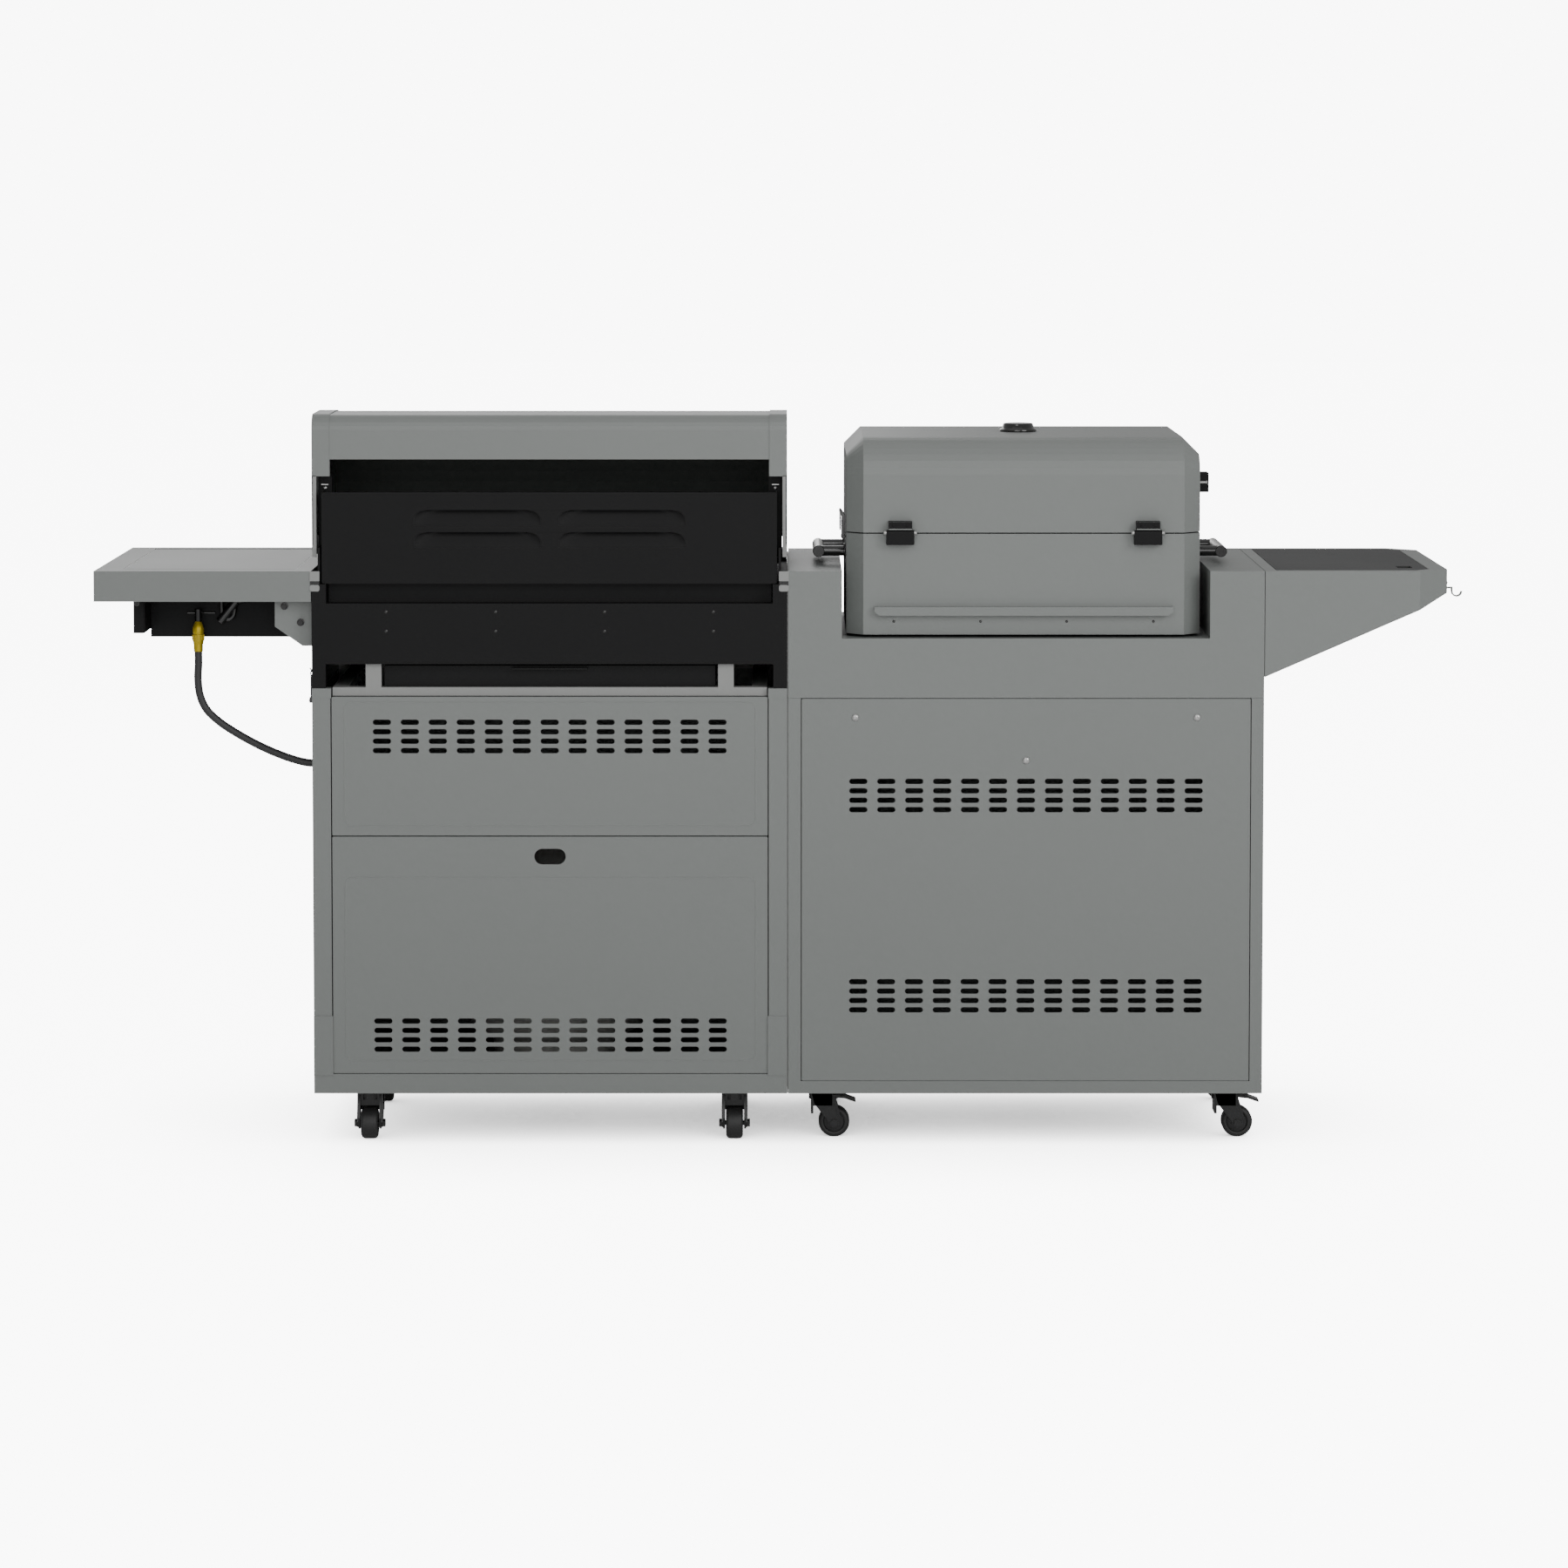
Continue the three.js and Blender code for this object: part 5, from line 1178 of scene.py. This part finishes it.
def makeShelfFixingsAndSeamShade():
    bm = bmesh.new()
    # black strips on the walls of the lid's gap stand in for the shade there: painted shade
    for x0, y0, x1, y1, top in burnerLook["lidSeamShade"]:
        addBox(bm, (x0, y0, 0.9128), (x1, y1, top))
    for place, radius, height in burnerLook["bolts"]:
        addBolt(bm, place, (0, 1, 0), radius, height)
    newPiece("shelfBoltsAndSeamShade", bm, "gloss_black", "kitchen")


coverLook = {"near": 0.8005, "far": 1.0350, "rear": -0.1388, "bottom": 0.8065, "top": 0.8748,
             "sheet": 0.0012, "return": 0.060, "tie": (1.0374, -0.0600, 0.8205)}


def makeBurnerCover():
    look = coverLook
    near, far, rear, sheet = look["near"], look["far"], look["rear"], look["sheet"]
    bottom, top = look["bottom"], look["top"]
    bm = bmesh.new()
    addBox(bm, (near, rear - sheet, bottom), (far, rear, top))
    addBox(bm, (near, rear - 0.008, bottom), (far, rear - sheet, bottom + sheet))
    addBox(bm, (near, rear - look["return"], bottom), (near + sheet, rear, top))
    x, y, z = look["tie"]
    addBox(bm, (far, rear - sheet, z), (x, y, top))
    newPiece("burnerCover", bm, "charcoal_black", "kitchen", 0.0004)


makeSideBurner()
makeBurnerCover()
makeGasLine()
makeShelfFixingsAndSeamShade()
print("side burner")

casterLook = {
    "plateHalf": (0.045, 0.036), "plateZ": (0.0780, 0.083), "wheelRadius": 0.025, "wheelHalf": 0.0135,
    "hub": 0.016,
    "boltInset": 0.009,
}


def wheelProfile(radius, half, hub):
    bore = 0.0046
    side = [(bore, half - 0.002), (hub * 0.55, half - 0.002), (hub * 0.6, half - 0.0035),
            (hub, half - 0.004), (hub + 0.0012, half - 0.0005), (hub + 0.003, half),
            (radius - 0.0045, half), (radius - 0.0016, half - 0.0016), (radius, half - 0.0045)]
    return [(across, -along) for across, along in side] + side[::-1] + [(bore, 0.002 - half)]


def addCheek(bm, stem, middle, along, side):
    # a side of the fork: wide under the swivel, narrow at the axle
    reach = (middle - stem).length
    outline = [(-0.0175, 0.0760), (0.0175, 0.0760), (0.0195, 0.0560), (reach + 0.0090, 0.0270),
               (reach + 0.0040, 0.0185), (reach - 0.0060, 0.0185), (reach - 0.0110, 0.0290),
               (-0.0120, 0.0560)]
    inner, outer = sorted((side * 0.0184, side * 0.0209))
    if along.x > 0.5:
        points = [(stem.y + u, z) for u, z in outline]
        addPrism(bm, "x", points, stem.x + inner, stem.x + outer)
    else:
        points = [(stem.x - u, z) for u, z in outline]
        addPrism(bm, "y", points, stem.y + inner, stem.y + outer)


def makeCasters():
    look = casterLook
    plates = bmesh.new()
    for cart in ("grill", "cabinet"):
        for place in ("outer", "inner"):
            for row in ("rear", "front"):
                key = f"{cart}_{place}_{row}"
                axle = (1, 0, 0) if cart == "grill" else (0, 1, 0)
                low, high = boxOf("caster_wheel_" + key)
                middle = (low + high) / 2
                wheel = bmesh.new()
                addTurned(wheel, wheelProfile(look["wheelRadius"], look["wheelHalf"], look["hub"]),
                          (middle.x, middle.y, look["wheelRadius"]), axle, 56)
                piece = newPiece("wheel_" + key, wheel, "caster_tread", "wheel_" + key, smooth=35)
                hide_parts("caster_wheel_" + key)
                trail = Vector((0, 0.02, 0)) if cart == "grill" else Vector((-0.02, 0, 0))
                stem = middle - trail
                u, v = look["plateHalf"]
                outline = roundedBox((stem.x - u, stem.y - v), (stem.x + u, stem.y + v), 0.006)
                addPrism(plates, "z", outline, look["plateZ"][0] + 0.0012, look["plateZ"][1])
                addTurned(plates, [(0, 0), (0.024, 0), (0.0255, 0.0015), (0.0255, 0.0022), (0, 0.0022)],
                          (stem.x, stem.y, look["plateZ"][0]), (0, 0, 1), 40)
                inset = look["boltInset"]
                for du in (-u + inset, u - inset):
                    for dv in (-v + inset, v - inset):
                        addBolt(plates, (stem.x + du, stem.y + dv, look["plateZ"][0] + 0.0012), (0, 0, -1),
                                0.0045, 0.0032)
                fittings = bmesh.new()
                along = Vector(axle)
                across = Vector((0, 1, 0)) if cart == "grill" else Vector((1, 0, 0))
                for side in (-1, 1):
                    addCheek(fittings, stem, middle, along, side)
                half = along * 0.0209 + across * 0.0175
                addBox(fittings, (stem.x - abs(half.x), stem.y - abs(half.y), 0.0525),
                       (stem.x + abs(half.x), stem.y + abs(half.y), 0.0775))
                back = stem - (middle - stem).normalized() * 0.0155
                web = along * 0.0209 + across * 0.0020
                addBox(fittings, (back.x - abs(web.x), back.y - abs(web.y), 0.0400),
                       (back.x + abs(web.x), back.y + abs(web.y), 0.0530))
                hubCentre = Vector((middle.x, middle.y, look["wheelRadius"]))
                for side in (-1, 1):
                    start = hubCentre + along * side * 0.0184
                    addBolt(fittings, start, along * side, 0.0062, 0.0062)
                newPiece("bolts_" + key, fittings, "caster_black", "caster_" + key, 0.0003)
    newPiece("casterPlates", plates, "caster_black", "kitchen", 0.0004)


makeCasters()
print("casters")

cylinderLook = {"radius": 0.152, "centre": (0.381, -0.236), "base": 0.1148}


def makeCylinder():
    look = cylinderLook
    x, y = look["centre"]
    radius = look["radius"]
    body = bmesh.new()
    profile = [(0, 0.022), (0.098, 0.022), (0.098, 0.001), (0.100, 0), (0.103, 0), (0.104, 0.002),
               (0.106, 0.028)]
    for u, v in arcPoints(0.106, 0.076, 1.0, -90, 0, 8):
        profile.append((0.106 + (u - 0.106) * (radius - 0.106), 0.076 + (v - 0.076) * 0.048))
    for u, v in arcPoints(0, 0, 1.0, 0, 90, 14)[:-1]:
        profile.append((max(0.020, u * radius), 0.256 + v * 0.096))
    profile += [(0.020, 0.354), (0.020, 0.374), (0.0275, 0.378), (0.028, 0.380), (0.028, 0.398),
                (0.026, 0.400), (0, 0.400)]
    addTurned(body, profile, (x, y, look["base"]), (0, 0, 1), 72)
    seam = [(radius - 0.001, 0.165), (radius + 0.0003, 0.166), (radius + 0.0003, 0.169),
            (radius - 0.001, 0.170),
            (radius - 0.001, 0.165)]
    addTurned(body, seam, (x, y, look["base"]), (0, 0, 1), 72)
    piece = newPiece("gasCylinder", body, "cylinder_paint", "kitchen", smooth=40)
    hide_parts("gas_cylinder")


makeCylinder()
print("cylinder")

studioLook = {
    "ambient": 0.42, "backdrop": 9.0, "floorGlow": 8.8, "shadowReach": 0.45, "shadowDepth": 0.8,
    "lights": (("key", (-3.6, 4.2, 3.0), 2.5, 110), ("camera", (0.5, 7.0, 2.4), 4.0, 106),
               ("band", (0.4, 3.6, 3.9), 1.1, 16),
               ("top", (0, 0.3, 5.0), 4.0, 12), ("front", (1.5, -5.5, 3.4), 4.0, 75)),
}


def makeStudio():
    floor = bmesh.new()
    addBox(floor, (-30, -30, -0.05), (30, 30, 0))
    ground = bpy.data.objects.new("floor", fromBmesh("floor", floor, False))
    bpy.context.scene.collection.objects.link(ground)
    material, tree, shader = startMaterial("paleFloor")
    shader.inputs["Base Color"].default_value = (0.93, 0.93, 0.93, 1)
    shader.inputs["Roughness"].default_value = 0.8
    shader.inputs["Emission Color"].default_value = (1, 1, 1, 1)
    seen = tree.nodes.new("ShaderNodeLightPath")
    # ambient occlusion darkens the floor's camera-only glow near the carts: a painted contact shadow
    near = tree.nodes.new("ShaderNodeAmbientOcclusion")
    near.inputs["Distance"].default_value = studioLook["shadowReach"]
    clear = mathNode(tree, "POWER", near.outputs["AO"], studioLook["shadowDepth"])
    glowWithPaintedShadow = mathNode(tree, "MULTIPLY", clear, studioLook["floorGlow"])
    glow = mathNode(tree, "MULTIPLY", seen.outputs["Is Camera Ray"], glowWithPaintedShadow)
    tree.links.new(glow, shader.inputs["Emission Strength"])
    ground.data.materials.append(material)
    world = bpy.data.worlds.new("studio")
    bpy.context.scene.world = world
    world.use_nodes = True
    nodes = world.node_tree
    backdrop = nodes.nodes["Background"]
    backdrop.inputs["Color"].default_value = (1, 1, 1, 1)
    seen = nodes.nodes.new("ShaderNodeLightPath")
    strength = mathNode(nodes, "MULTIPLY_ADD", seen.outputs["Is Camera Ray"],
                        studioLook["backdrop"] - studioLook["ambient"], studioLook["ambient"])
    nodes.links.new(strength, backdrop.inputs["Strength"])
    for name, place, size, power in studioLook["lights"]:
        data = bpy.data.lights.new(name, "AREA")
        data.size = size
        data.energy = power
        light = bpy.data.objects.new(name, data)
        bpy.context.scene.collection.objects.link(light)
        light.location = place
        light.rotation_euler = (Vector((0, 0, 0.6)) - Vector(place)).to_track_quat("-Z", "Y").to_euler()


makeStudio()
print("studio ready")
